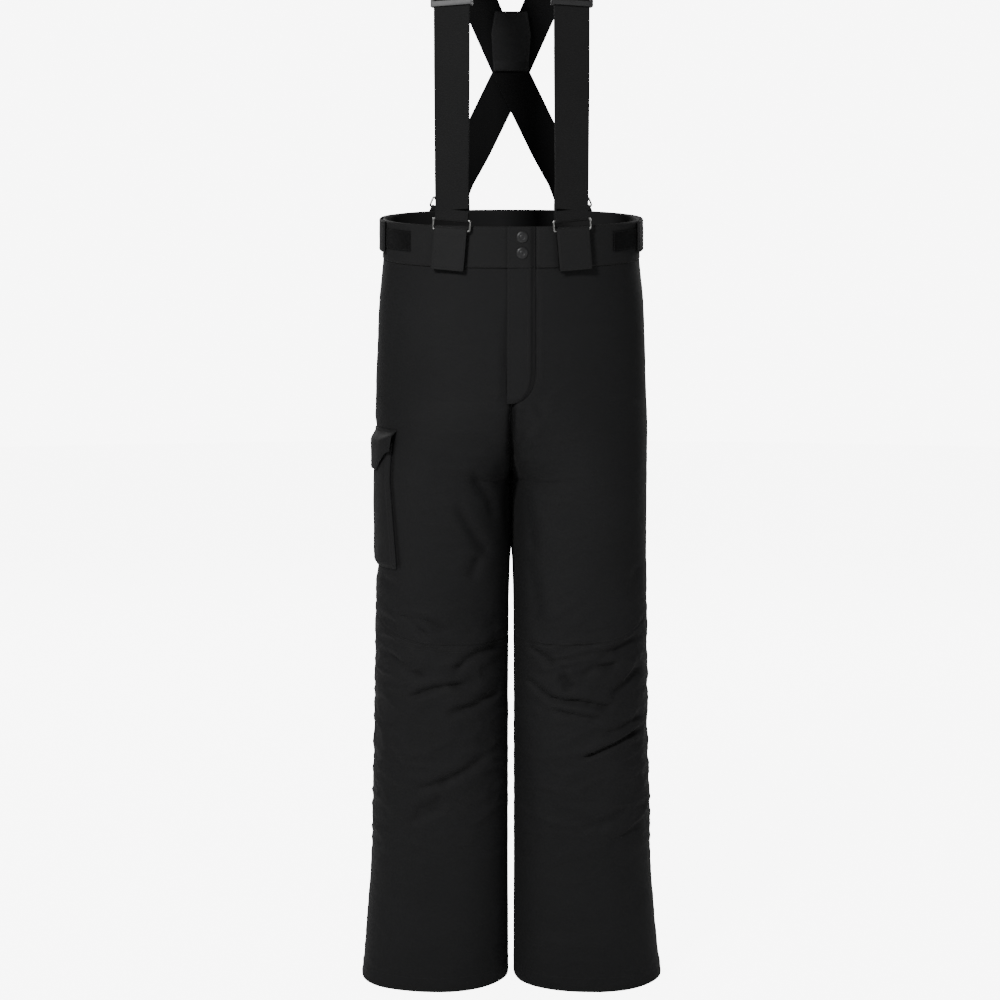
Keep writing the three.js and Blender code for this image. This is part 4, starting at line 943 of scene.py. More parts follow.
# ---------------------------------------------------------------------
# Linings, quilted in upright channels
# ---------------------------------------------------------------------
for side, nm in ((-1, "right"), (1, "left")):
    for back, tag in ((False, "front"), (True, "back")):
        rows = ease_rows(-56.5, -880, 9, CR)
        psi, zz = panel_grid(side, back, rows, 49, lining=True)
        P, Nn = surf(side, psi, zz), normal(side, psi, zz)
        s = grid_uv(P)[: P.shape[0] * P.shape[1], 0].reshape(P.shape[:2])
        puff = 0.9 * np.abs(np.sin(np.pi * s / 34.0)) ** 0.5
        d = -5.0 - 0.3 - puff * smooth(-60, -90, zz) + 0.25 * noise3(P / 22.0)
        out = P + Nn * (d)[..., None]
        inn = P + Nn * (d - 0.8)[..., None]
        v, f = grid_solid(out, inn)
        o = new_object(f"lining_cloth_{tag}_{nm}", v, f, M_LINING, "pants", uv=grid_uv(out), replace=(f"lining_{tag}_{nm}",))
        declare(o, out)
    # boot gaiter: gathered into its elastic
    n, m = 144, 30
    q = np.linspace(0, 2 * math.pi, n, endpoint=False)[:, None]
    t = np.linspace(0, 1, m)[None]
    z = -862 + (-1004 + 862) * t
    k = smooth(0, 1, t)
    a, cx = section(z, 1)
    A = (a - 8.2) * (1 - k) + 66 * k
    B = (f_front(z) - 8.2) * (1 - k) + 64 * k
    gather = (1.5 * np.sin(26 * q + 1.5 * np.sin(3 * q)) * smooth(0.15, 0.8, t) * (1 - smooth(0.86, 0.9, t))
              + 1.0 * np.sin(17 * q + 2) * smooth(0.0, 0.5, t) * (1 - smooth(0.84, 0.9, t))) - 0.4
    R = lambda d: np.stack([side * (cx + (A + d) * np.cos(q)), (B + d) * np.sin(q) + 0 * t, z + 0 * q], -1)
    v, f = grid_solid(R(gather), R(gather - 0.9), wrap=True)
    uvg = np.stack([np.broadcast_to(q * 85, gather.shape), np.broadcast_to(-z, gather.shape)], -1).reshape(-1, 2)
    gaiter = new_object(f"gaiter_cloth_{nm}", v, f, M_GAITER, "pants", uv=np.concatenate([uvg, uvg]), replace=(f"boot_gaiter_{nm}",))
    declare(gaiter, R(gather), wrap=True)
    t2 = np.linspace(0.865, 0.998, 9)[None]
    z = -862 + (-1004 + 862) * t2
    k = smooth(0, 1, t2)
    a, cx = section(z, 1)
    A = (a - 8.2) * (1 - k) + 66 * k
    B = (f_front(z) - 8.2) * (1 - k) + 64 * k
    rib = 0.18 * np.sin(90 * q) + 0 * t2
    R = lambda d: np.stack([side * (cx + (A + d) * np.cos(q)), (B + d) * np.sin(q) + 0 * t2, z + 0 * q], -1)
    v, f = grid_solid(R(1.9 + rib), R(0.7 + 0 * rib), wrap=True)
    uvg = np.stack([np.broadcast_to(q * 65, rib.shape), np.broadcast_to(-z, rib.shape)], -1).reshape(-1, 2)
    new_object(f"gaiter_band_{nm}", v, f, M_ELASTIC, "pants", uv=np.concatenate([uvg, uvg]), replace=(f"gaiter_elastic_{nm}",))


# =====================================================================
# Waistband and fly
# =====================================================================
def pad_profile(u, v, nu_dist, edge=3.0):
    return np.sqrt(np.clip(1 - np.clip(1 - u / edge, 0, 1) ** 2, 0, 1))


def soft_plate(name, at, us, vs, d_out, d_in, mat, body="pants", replace=(), edge=2.6, crown=0.0, wob=0.25, stitch=(), thr=None, ride=True, edges="uv01"):
    """A sewn piece over the surface. at(u, v, d) gives points for arrays of u and v stations and distance d."""
    U, V = np.meshgrid(us, vs, indexing="ij")
    G = at(U, V, np.full(U.shape, (d_out + d_in) / 2 if np.isscalar(d_out) else 0.0) if np.isscalar(d_out) else (d_out(U, V) + d_in(U, V)) / 2)
    u0, u1, v0, v1 = edge_dist(G)
    do = d_out(U, V) if callable(d_out) else np.full(U.shape, float(d_out))
    di = d_in(U, V) if callable(d_in) else np.full(U.shape, float(d_in))
    half = (do - di) / 2
    dist = np.full(U.shape, 99.0)
    for key, dd in (("u0", u0), ("u1", u1), ("v0", v0), ("v1", v1)):
        if key in edges or edges == "uv01":
            dist = np.minimum(dist, dd)
    k = pad_profile(np.clip(dist, 0, edge), None, None, edge)
    k = 0.25 + 0.75 * k
    mid = (do + di) / 2
    n = noise3(G / 26.0 + 4.0) * wob + noise3(G / 9.0 + 1.0) * wob * 0.35
    cr = crown * np.clip(np.minimum(v0, v1) / (0.5 * (v0 + v1)), 0, 1)
    so = mid + half * k + (n + cr) * np.clip(dist / edge, 0, 1)
    si = mid - half * k + n * 0.3 * np.clip(dist / edge, 0, 1)
    O, I = at(U, V, so), at(U, V, si)
    v, f = grid_solid(O, I)
    o = new_object(name, v, f, mat, body, uv=grid_uv(O), replace=replace, ride=ride)
    sharp_edges(o, 70)
    gu, gv = np.gradient(O, axis=0), np.gradient(O, axis=1)
    Nn = unit(np.cross(gu, gv))
    away = unit(O - I)
    Nn = np.where((Nn * away).sum(-1, keepdims=True) < 0, -Nn, Nn)
    for e, d in stitch:
        P_, Q_ = inset(O, Nn, e, d)
        (thr or threads).row(P_, Q_)
    return o, O, Nn


def at_front(U, V, d):
    """U is a signed distance x across the front, V a height."""
    out = np.zeros(U.shape + (3,))
    for side in (-1, 1):
        m = (U >= 0) if side > 0 else (U < 0)
        if m.any():
            out[m] = off(side, psi_at_x(V[m], np.abs(U[m]), False, side), V[m], d[m])
    return out


def at_side(side):
    return lambda U, V, d: off(side, U, V, d)


BZ = np.concatenate([np.linspace(RIM_Z, RIM_Z - 4, 5), np.linspace(RIM_Z - 4, BAND_Z + 4, 12)[1:-1], np.linspace(BAND_Z + 4, BAND_Z, 5)])


def band_front(side, x_end, n):
    a = float(psi_at_x(-27.0, max(0.001, side * x_end), False, side))
    us = np.linspace(PSI0, a, n)
    return us, a


# right half with the underlap: two grids joined at the centre would leave a seam, so it is one strip by arc stations
def strip_stations(x_end, side, n1, n2):
    a = float(psi_at_x(-27.0, 0.001, False, side))
    st = [(side, q) for q in np.linspace(PSI0, a, n1)]
    if side * x_end < 0:
        st += [(-side, float(psi_at_x(-27.0, q, False))) for q in np.linspace(0, abs(x_end), n2)[1:]]
    return st


def at_stations(st):
    S = np.array([q[0] for q in st])
    Pq = np.array([q[1] for q in st])

    def at(U, V, d):
        i = np.clip(np.round(U).astype(int), 0, len(st) - 1)
        out = np.zeros(U.shape + (3,))
        for side in (-1, 1):
            m = S[i] == side
            if m.any():
                out[m] = off(side, Pq[i][m], V[m], d[m])
        return out
    return at


st = strip_stations(21.5, -1, 90, 10)
soft_plate("band_front_right", at_stations(st), np.arange(len(st)), BZ, 1.1, -3.6, M_BAND, replace=("waistband_front_right",), edge=3.0, wob=0.3, stitch=[("v0", 3.2), ("v1", 3.2)])
a = float(psi_at_x(-27.0, FLY_X + 0.05, False))
us = np.linspace(PSI0, a, 84)
soft_plate("band_front_left", at_side(1), us, BZ, 1.1, -3.6, M_BAND, replace=("waistband_front_left",), edge=3.0, wob=0.3, stitch=[("v0", 3.2), ("v1", 3.2)])
sb = [(-1, q) for q in np.linspace(-PSI0, -math.pi / 2, 80)] + [(1, q) for q in np.linspace(-math.pi / 2, -PSI0, 80)[1:]]
soft_plate("band_back", at_stations(sb), np.arange(len(sb)), BZ, 1.1, -3.6, M_BAND, replace=("waistband_back",), edge=3.0, wob=0.5, stitch=[("v0", 3.2), ("v1", 3.2)])

# overlap with the snaps: sits proud over the underlap and comes down to the band at its fold
OVX = np.concatenate([np.linspace(FLY_EDGE, FLY_EDGE + 4, 6), np.linspace(FLY_EDGE + 4, 23.5, 12)[1:], np.linspace(23.5, FLY_X, 8)[1:]])
ramp_o = lambda U, hi, lo: hi + (lo - hi) * smooth(22.0, 30.0, U)
o, OVG, OVN = soft_plate("band_overlap", at_front, OVX, BZ, lambda U, V: ramp_o(U, 5.0, 1.0), lambda U, V: ramp_o(U, 1.5, -2.4), M_BAND, body="fly_overlap", replace=("waistband_overlap",), edge=2.6, wob=0.15, stitch=[("v0", 3.2), ("v1", 3.2), ("u0", 3.2)], thr=fly_threads, ride=False, edges="u0v0v1")
fold = lambda z: off(1, psi_at_x(z, FLY_X), z, 0.0)
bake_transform(o)

# fly flap in two pieces: the upper part, and its foot, which stays sewn at the bottom
def flap_grid(name, zs, body_blend, replace=(), foot=False):
    zs = np.array(zs)
    ts = np.concatenate([np.linspace(0, 0.1, 5), np.linspace(0.1, 0.82, 14)[1:], np.linspace(0.82, 1, 9)[1:]])
    T, Z = np.meshgrid(ts, zs, indexing="ij")
    XF = np.maximum(-1.5, FLY_X * fly_curve(Z))
    X = FLY_EDGE + (XF - FLY_EDGE) * T
    r = smooth(0.80, 1.0, T)
    low = smooth(-234.5, -241.5, Z) * 2.0
    do, di = 3.6 + (0.3 - 3.6) * r - low * (1 - r), 0.7 + (-2.4 - 0.7) * r - low * (1 - r)
    G = at_front(X, Z, (do + di) / 2)
    u0, u1, v0, v1 = edge_dist(G)
    d = u0 if not foot else np.minimum(u0, v1)
    k = 0.25 + 0.75 * pad_profile(np.clip(d, 0, 2.4), None, None, 2.4)
    n = 0.35 * noise3(G / np.array([16.0, 16.0, 40.0]) + 2.0) + 0.3 * np.sin(G[..., 2] / 6.5 + 3 * noise3(G / 50.0)) * np.exp(-u1 / 8) * (1 + foot)
    n = n - 0.5 * np.exp(-((u1 - 4.0) / 1.4) ** 2)
    so = (do + di) / 2 + (do - di) / 2 * k + n * np.clip(u0 / 3, 0, 1)
    si = (do + di) / 2 - (do - di) / 2 * k
    O, I = at_front(X, Z, so), at_front(X, Z, si)
    v, f = grid_solid(O, I)
    o = new_object(name, v, f, M_SHELL, "pants", uv=grid_uv(O), replace=replace, ride=False)
    sharp_edges(o, 70)
    gu, gv = np.gradient(O, axis=0), np.gradient(O, axis=1)
    Nn = unit(np.cross(gu, gv))
    Nn = np.where((Nn * unit(O - I)).sum(-1, keepdims=True) < 0, -Nn, Nn)
    return o, O, Nn


o, FG, FN = flap_grid("flap_fly", np.linspace(BAND_Z + 0.6, -200, 60), None, replace=("fly_flap",))
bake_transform(o)
P_, Q_ = inset(FG, FN, "u0", 3.0)
fly_threads.row(P_, Q_)
P_, Q_ = inset(FG, FN, "u1", 11.0)
fly_threads.row(P_, Q_)
o, FG2, FN2 = flap_grid("flap_fly_foot", list(np.linspace(-200.0, -236, 26)) + [-238.5, -240.2, -241.2, -241.7, -242.2], None, foot=True)
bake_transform(o)
foot_threads = Thread()
P_, Q_ = inset(FG2, FN2, "u1", 4.0)
threads_foot = (P_, Q_)
foot_threads.row(P_, Q_)
P_, Q_ = inset(FG2, FN2, "u0", 3.0)
foot_threads.row(P_[P_[:, 2] > -228], Q_[P_[:, 2] > -228])
ft = foot_threads.build("stitches_fly_foot", M_THREAD, "pants")
if ft:
    ft.parent = None
    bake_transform(ft)

# fly shield
xs1 = lambda Z: 24 * np.maximum(0.15, fly_curve(Z + 4))
def at_shield(U, V, d):
    return at_front(-18 + (xs1(V) + 18) * U, V, d)
soft_plate("shield_fly", at_shield, np.linspace(0, 1, 24), np.linspace(BAND_Z + 3.0, -247, 62), -6.7, -8.1, M_SHELL, replace=("fly_shield",), edge=2.0, wob=0.2, stitch=[("u1", 4.0)])

# ---------------------------------------------------------------------
# Snaps, zipper
# ---------------------------------------------------------------------
def surface_frame(x, z):
    side = 1
    psi = psi_at_x(z, abs(x), False, side)
    n = normal(side, psi, z)
    O = surf(side, psi, z)
    u = unit(np.array([0, 0, 1.0]) - n * n[2])
    return O, n, u, unit(np.cross(n, u))


def turned(name, F, prof, mat, body, replace, seg=48):
    O, n, u, w = F
    v, f = [], []
    prof = [(r, h) for r, h in prof]
    rings = []
    for r, h in prof:
        if r < 1e-6:
            rings.append([len(v)])
            v.append(O + n * h)
        else:
            rings.append(list(range(len(v), len(v) + seg)))
            for k in range(seg):
                q = 2 * math.pi * k / seg
                v.append(O + n * h + (w * math.cos(q) + u * math.sin(q)) * r)
    for a, b in zip(rings, rings[1:]):
        for k in range(seg):
            l = (k + 1) % seg
            if len(a) == 1:
                f.append((a[0], b[k], b[l]))
            elif len(b) == 1:
                f.append((a[k], b[0], a[l]))
            else:
                f.append((a[k], b[k], b[l], a[l]))
    v = np.array(v)
    if volume(v, f) < 0:
        f = [q[::-1] for q in f]
    o = new_object(name, v, f, mat, body, replace=replace)
    sharp_edges(o, 38)
    return o


for k, z in enumerate((-14.3, -34.4)):
    F = surface_frame(13.0, z)
    tag = "lower" if k else "upper"
    cap = [(0, 7.1), (2.6, 7.1), (3.1, 6.85), (3.6, 7.1), (4.9, 7.0), (6.0, 6.75), (6.8, 6.35), (7.35, 5.95), (7.5, 5.7), (7.45, 5.45), (3.1, 5.4), (3.1, 1.35), (2.45, 1.35), (2.45, 4.2), (0, 4.2)]
    turned(f"cap_snap_{tag}", F, cap, M_CAP, "fly_overlap", (f"snap_cap_{tag}",))
    turned(f"stud_snap_{tag}", F, [(0, 3.3), (1.0, 3.28), (1.6, 3.12), (1.85, 2.85), (1.9, 2.5), (1.6, 2.1), (1.2, 1.9), (1.2, -4.4), (0, -4.4)], M_STUD, "pants", (f"snap_stud_{tag}",))
    turned(f"back_snap_{tag}", F, [(0, -4.8), (4.9, -4.8), (5.4, -4.95), (5.6, -5.2), (5.3, -5.6), (4.4, -5.95), (2, -6.1), (0, -6.1)], M_STUD, "pants", (f"snap_back_{tag}",))

ZIP_X, ZIP_Y, ZIP_TOP, ZIP_LOW = 5.0, -116.4, -74.0, -226.0
for s, nm in ((-1, "right"), (1, "left")):
    e, bead, wide = 0.6, 1.4, (9.5 if s > 0 else 4.6)
    zs = np.linspace(ZIP_LOW, ZIP_TOP, 40)
    O = np.stack([np.full(40, ZIP_X + s * (e + bead * 0.6 + wide) / 2), np.full(40, ZIP_Y), zs], 1)
    A = np.tile([s * 1.0, 0, 0], (40, 1)); B = np.tile([0, -1.0, 0], (40, 1))
    v, f, uv = sweep(O, A, B, rounded(wide - e - bead * 0.6, 0.8, nw=4))
    o = new_object(f"zip_tape_{nm}", v, f, M_ZIPTAPE, "pants", uv=uv, replace=(f"fly_zip_tape_{nm}",))
    # coil turns
    V, Fc = [], []
    for z in np.arange(ZIP_LOW + 1 + (0.7 if s > 0 else 0), ZIP_TOP - 1, 1.45):
        b = len(V)
        ring = []
        for q in np.linspace(0, 2 * math.pi, 10, endpoint=False):
            ring.append((ZIP_X + s * (e + 0.75 + 0.62 * math.cos(q)), ZIP_Y - 0.85 * math.sin(q)))
        for dz in (-0.5, -0.3, 0.3, 0.5):
            sc = 0.8 if abs(dz) == 0.5 else 1.0
            cx_, cy_ = ZIP_X + s * (e + 0.75), ZIP_Y
            for x, y in ring:
                V.append((cx_ + (x - cx_) * sc, cy_ + (y - cy_) * sc, z + dz))
        for L_ in range(3):
            for q in range(10):
                Fc.append((b + L_ * 10 + q, b + L_ * 10 + (q + 1) % 10, b + (L_ + 1) * 10 + (q + 1) % 10, b + (L_ + 1) * 10 + q))
        Fc.append(tuple(b + q for q in range(9, -1, -1)))
        Fc.append(tuple(b + 30 + q for q in range(10)))
    V = np.array(V)
    o2 = new_object(f"zip_coil_{nm}", V, Fc, M_COIL, "pants")


def bevelled_copy(name, node, mat, body, width=0.35, seg=2):
    src = NODES[node]
    o = src.copy()
    o.data = src.data.copy()
    o.name = name
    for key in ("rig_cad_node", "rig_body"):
        if key in o:
            del o[key]
    o.parent = None
    bpy.context.scene.collection.objects.link(o)
    o.data.materials.clear()
    o.data.materials.append(mat)
    import bmesh
    bm = bmesh.new()
    bm.from_mesh(o.data)
    bmesh.ops.remove_doubles(bm, verts=bm.verts, dist=1e-6)
    bmesh.ops.dissolve_limit(bm, angle_limit=math.radians(1.0), verts=bm.verts, edges=bm.edges)
    es = [e for e in bm.edges if len(e.link_faces) == 2 and e.calc_face_angle(0) > math.radians(35)]
    bmesh.ops.bevel(bm, geom=es, offset=width * MM, offset_type="OFFSET", segments=seg, profile=0.6, affect="EDGES", clamp_overlap=True)
    bmesh.ops.triangulate(bm, faces=[f for f in bm.faces if len(f.verts) > 4])
    bm.to_mesh(o.data)
    bm.free()
    o.data.polygons.foreach_set("use_smooth", [True] * len(o.data.polygons))
    o.data.update()
    sharp_edges(o, 40)
    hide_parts(node)
    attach(o, body)
    return o


bevelled_copy("slider_zip", "fly_zip_slider", M_ZIPMETAL, "zip_slider", 0.18)
bevelled_copy("pull_zip", "fly_zip_pull", M_ZIPMETAL, "zip_slider", 0.15)
bevelled_copy("stop_zip", "fly_zip_stop", M_ZIPMETAL, "pants", 0.3)

# =====================================================================
# Side adjusters
# =====================================================================
for side, nm in ((-1, "right"), (1, "left")):
    thr = Thread()
    soft_plate(f"loop_pile_{nm}", at_side(side), np.linspace(0.02, 0.74, 50), np.linspace(-10.5, -36.5, 16), 2.3, 1.3, M_LOOP, replace=(f"loop_tape_{nm}",), edge=1.2, wob=0.12, stitch=[("v0", 1.6), ("v1", 1.6), ("u1", 1.6)])
    lift = lambda U, d: d + np.interp((U + 0.62) / 0.95, [0, 0.125, 0.25, 0.375, 1], [0, 0.9, 1.7, 2, 2])
    o, G, Nn = soft_plate(f"tab_side_{nm}", at_side(side), np.concatenate([np.linspace(-0.62, 0.30, 64), np.linspace(0.305, 0.33, 6)]), np.concatenate([np.linspace(-1.5, -5, 5), np.linspace(-6, -38, 13), np.linspace(-39, -42.5, 5)]), lambda U, V: lift(U, 3.9), lambda U, V: lift(U, 1.3), M_TAB, body=f"side_tab_{nm}", replace=(f"side_tab_{nm}",), edge=2.0, crown=0.25, wob=0.3, stitch=[("v0", 3.0), ("v1", 3.0), ("u1", 3.0), ("u1", 12.0)], thr=thr, ride=False)
    p0 = off(side, -0.60, -22.0, 2.4) * MM
    p1 = off(side, -0.50, -22.0, 2.4) * MM
    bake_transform(o)
    t = thr.build(f"stitches_side_tab_{nm}", M_THREAD, f"side_tab_{nm}")
    t.parent = None
    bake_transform(t)
    # points along the sewn end, where a bar tack sits; nothing is built from them
    P_ = off(side, np.full(8, -0.605), np.linspace(-4, -40, 8), 4.3)
    Q_ = normal(side, np.full(8, -0.605), np.linspace(-4, -40, 8))

# =====================================================================
# Suspender hardware and straps
# =====================================================================
RING_ROD, RING_HALF, RING_H, TAB_W, DIST, STRAP_T = 1.4, 24.6, 13.5, 44.2, 5.0, 1.6
DEG = math.pi / 180


def rot(v, axis, a):
    axis = unit(axis)
    return v * math.cos(a) + np.cross(axis, v) * math.sin(a) + axis * np.dot(axis, v) * (1 - math.cos(a))


def tab_frame(x, zc, back):
    side = 1 if x >= 0 else -1
    psi = psi_at_x(zc, abs(x), back, side)
    n = normal(side, psi, zc).copy()
    n[2] = 0
    n = unit(n)
    u = np.array([0, 0, 1.0])
    w = unit(np.cross(n, u))
    O = surf(side, psi, zc) + n * DIST
    return {"O": O, "w": w, "n": n, "u": u}


TABS = {"front_right": tab_frame(-76, -6.6, False), "front_left": tab_frame(76, -6.6, False),
        "back_right": tab_frame(-89, -4.0, True), "back_left": tab_frame(89, -4.0, True)}
for key, f in TABS.items():
    sgn = -1 if key.endswith("right") else 1
    back = key.startswith("back")
    if back:
        before = f["u"].copy()
        f["n"] = rot(f["n"], f["w"], 0.085)
        f["u"] = rot(f["u"], f["w"], 0.085)
        if np.dot(f["u"], f["n"]) > 1e-6 or f["n"][2] < 0:
            f["n"] = rot(f["n"], f["w"], -0.17)
            f["u"] = rot(before, f["w"], -0.085)
    lean = (22 if back else 5) * DEG
    for q in (lean, -lean):
        u = rot(f["u"], f["n"], q)
        if np.sign(u[0]) == -sgn:
            f["w"] = rot(f["w"], f["n"], q)
            f["u"] = u
            break


def loc(f, w, n, u):
    return f["O"] + f["w"] * w + f["n"] * n + f["u"] * u


for key, f in TABS.items():
    back = key.startswith("back")
    # ring
    c, A, H = 2.4, RING_HALF, RING_H
    pts = []
    for cw, cu, q0 in ((A - c, H - c, 0), (-A + c, H - c, 90), (-A + c, c, 180), (A - c, c, 270)):
        for k in range(9):
            q = (q0 + 90 * k / 8) * DEG
            pts.append((cw + c * math.cos(q), cu + c * math.sin(q)))
    pts = np.array(pts + [pts[0]])
    pts = resample(pts, 1.4)[:-1]
    C = np.array([loc(f, a_, 0, b_) for a_, b_ in pts])
    T = unit(np.roll(C, -1, 0) - np.roll(C, 1, 0))
    S = unit(np.cross(T, f["n"]))
    circ = [(RING_ROD * math.cos(2 * math.pi * k / 16), RING_ROD * math.sin(2 * math.pi * k / 16)) for k in range(16)]
    v, ff, uv = sweep(C, S, np.tile(f["n"], (len(C), 1)), circ, closed_path=True)
    new_object(f"wire_ring_{key}", v, ff, M_RING, "pants", uv=uv, replace=(f"ring_{key}",))
    # tab: rear leg, over the bar, and the outer ply
    L_ = 48 if back else 51
    rm, tt = 2.75, 1.75
    path = [(-rm, -3.9), (-rm, -1.5)] + [(rm * math.cos(math.pi * (1 - k / 10)), rm * math.sin(math.pi * (1 - k / 10))) for k in range(11)]
    path += [(rm, -y) for y in np.linspace(2, L_ - 0.2, 26)]
    path = np.array(path)
    path = resample(path, 1.5)
    # the ply relaxes a little away from the bar and stands off at its free end
    s = np.clip(-path[:, 1] / L_, 0, 1) * (path[:, 0] > 1)
    path[:, 0] += -0.55 * np.sin(math.pi * s) * 0.6 + 0.5 * s ** 3
    C = np.array([loc(f, 0, n_, u_) for n_, u_ in path])
    T = unit(np.gradient(C, axis=0))
    W = np.tile(f["w"], (len(C), 1))
    Bn = unit(np.cross(W, T))
    s_end = np.concatenate([[0], np.cumsum(np.linalg.norm(np.diff(C, axis=0), axis=1))])
    rem = s_end[-1] - s_end
    base = np.array(rounded(TAB_W - 0.5, tt, nw=14, lens=0.0))
    prof = np.array([base * [1 - 0.05 * max(0, 1 - r_ / 2.0) ** 2, 1 - 0.45 * max(0, 1 - r_ / 1.6)] for r_ in rem])
    wav = 0.25 * np.array([[noise3(np.array([a_ / 14.0, r_ / 18.0, 3.3 + hash(len(key)) % 5])) for a_ in base[:, 0]] for r_ in rem])
    prof[:, :, 1] += wav * np.clip(rem / 6, 0, 1)[:, None]
    v, ff, uv = sweep(C, W, Bn, prof)
    o = new_object(f"wrap_tab_{key}", v, ff, M_TAB, f"tab_{key}", uv=uv, replace=(f"tab_{key}",), ride=False)
    sharp_edges(o, 75)
    s0, s1 = loc(f, 0, -2.9, 0) * MM, loc(f, 0, 1.2, 0) * MM
    tuple(s0)
    tuple(s1)
    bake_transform(o)
    thr = Thread()
    out_n = rm + tt / 2
    zz = np.linspace(-6, -L_ + 3.0, 20)
    dd = lambda y: out_n - 0.33 * np.sin(math.pi * np.clip(-y / L_, 0, 1)) + 0.5 * np.clip(-y / L_, 0, 1) ** 3
    for w_ in (-TAB_W / 2 + 3.2, TAB_W / 2 - 3.2):
        thr.row([loc(f, w_, dd(y), y) for y in zz], [f["n"]] * len(zz))
    for y in (-6.5, -L_ + 3.2):
        ws = np.linspace(-TAB_W / 2 + 3.2, TAB_W / 2 - 3.2, 12)
        thr.row([loc(f, w_, dd(y), y) for w_ in ws], [f["n"]] * 12)
    thr.build(f"stitches_tab_{key}", M_THREAD, f"tab_{key}")
    # base: sewn on the waistband
    us_, ws_ = np.linspace(-L_ + 1, -4.4, 24), np.linspace(-TAB_W / 2, TAB_W / 2, 16)
    U, Wd = np.meshgrid(us_, ws_, indexing="ij")
    def at_tab(U, V, d, f=f):
        return f["O"] + V[..., None] * f["w"] + U[..., None] * f["u"] + d[..., None] * f["n"]
    soft_plate(f"tab_sewn_base_{key}", at_tab, us_, ws_, 1.35, -DIST + 1.6, M_LOOP, replace=(f"tab_base_{key}",), edge=2.0, wob=0.15)


# ---------------------------------------------------------------------
STRAP_TILT = 5.5 * DEG
S_UP = np.array([0, math.sin(STRAP_TILT), math.cos(STRAP_TILT)])
ADJ_Z = 274.0
ADJ = {}


def strap_path(side):
    P, W, Hh = [], [], []
    ff, fb = TABS["front_right" if side < 0 else "front_left"], TABS["back_left" if side < 0 else "back_right"]
    R = RING_ROD + 0.3 + STRAP_T / 2
    KB, FB = loc(fb, 0, 0, RING_H), loc(ff, 0, 0, RING_H)

    def put(p, w, h):
        P.append(np.array(p, float)); W.append(np.array(w, float)); Hh.append(h)
    kp = lambda n, u: KB + fb["n"] * n + fb["u"] * u
    kw = fb["w"]
    put(kp(1.1, 40), kw, 22); put(kp(1.15, 26), kw, 22); put(kp(R, 10), kw, 22)
    for k in range(13):
        q = math.pi * k / 12
        put(kp(R * math.cos(q), -R * math.sin(q)), kw, 22)
    put(kp(-R, 10), kw, 22); put(kp(-1.15, 26), kw, 22); put(kp(-1.1, 40), kw, 22)
    cross = 104.6 if side < 0 else 108.2
    base = kp(-1.1, 40)
    mid0 = np.array([0, cross, 200.0])
    pts = [(base + (mid0 - base) * 0.3, 24), (base + (mid0 - base) * 0.62, 25), (mid0, 25),
           ((side * 20, cross - 4, 243), 24), ((side * 39, cross - 18, 284), 23), ((side * 50, 72, 308), 21), ((side * 61, 53, 334), 17),
           ((side * 69, 30, 354), 12), ((side * 74.5, 4, 367), 6), ((side * 77, -24, 371), 0), ((side * 77.4, -50, 363), 0), ((side * 77.5, -68, 348), 0)]
    wf0 = ff["w"] * np.sign(ff["w"][0])
    wf0 = unit(np.array([wf0[0], wf0[1], 0]))
    sx = np.sign(kw[0])
    for p, deg in pts:
        p = np.array(p, float)
        w = np.array([math.cos(deg * DEG), 0, -side * math.sin(deg * DEG)])
        k = float(smooth(20, -70, p[1])) * (1 if p[2] > 300 else 0)
        w = unit(w * (1 - k) + wf0 * k)
        put(p, w * sx, 23.6)
    nF = unit(np.cross(wf0, S_UP))
    if nF[1] > 0:
        nF = -nF
    line = lambda z, d: FB + S_UP * ((z - FB[2]) / S_UP[2]) + nF * d
    width = lambda z: 23.6 if z > 200 else 23.6 - 1.4 * (200 - z) / 160
    for z in (326, 300, 240, 180, 120, 70, 40):
        put(line(z, -1.1), wf0 * sx, width(z))
    fp = lambda n, u: FB + ff["n"] * n + ff["u"] * u
    wr = ff["w"] * np.sign(ff["w"][0]) * sx
    put(fp(-R, 12), wr, 22)
    for k in range(13):
        q = math.pi * k / 12
        put(fp(-R * math.cos(q), -R * math.sin(q)), wr, 21.9)
    put(fp(R, 12), wr, 22)
    split = len(P) - 1
    for z in (40, 70, 120, 180, 240, ADJ_Z - 1):
        put(line(z, 1.1), wf0 * sx, width(z))
    ADJ[side] = {"O": line(ADJ_Z, 0), "w": unit(wf0 - S_UP * np.dot(wf0, S_UP)), "n": nF, "u": S_UP}
    return np.array(P), np.array(W), np.array(Hh), split


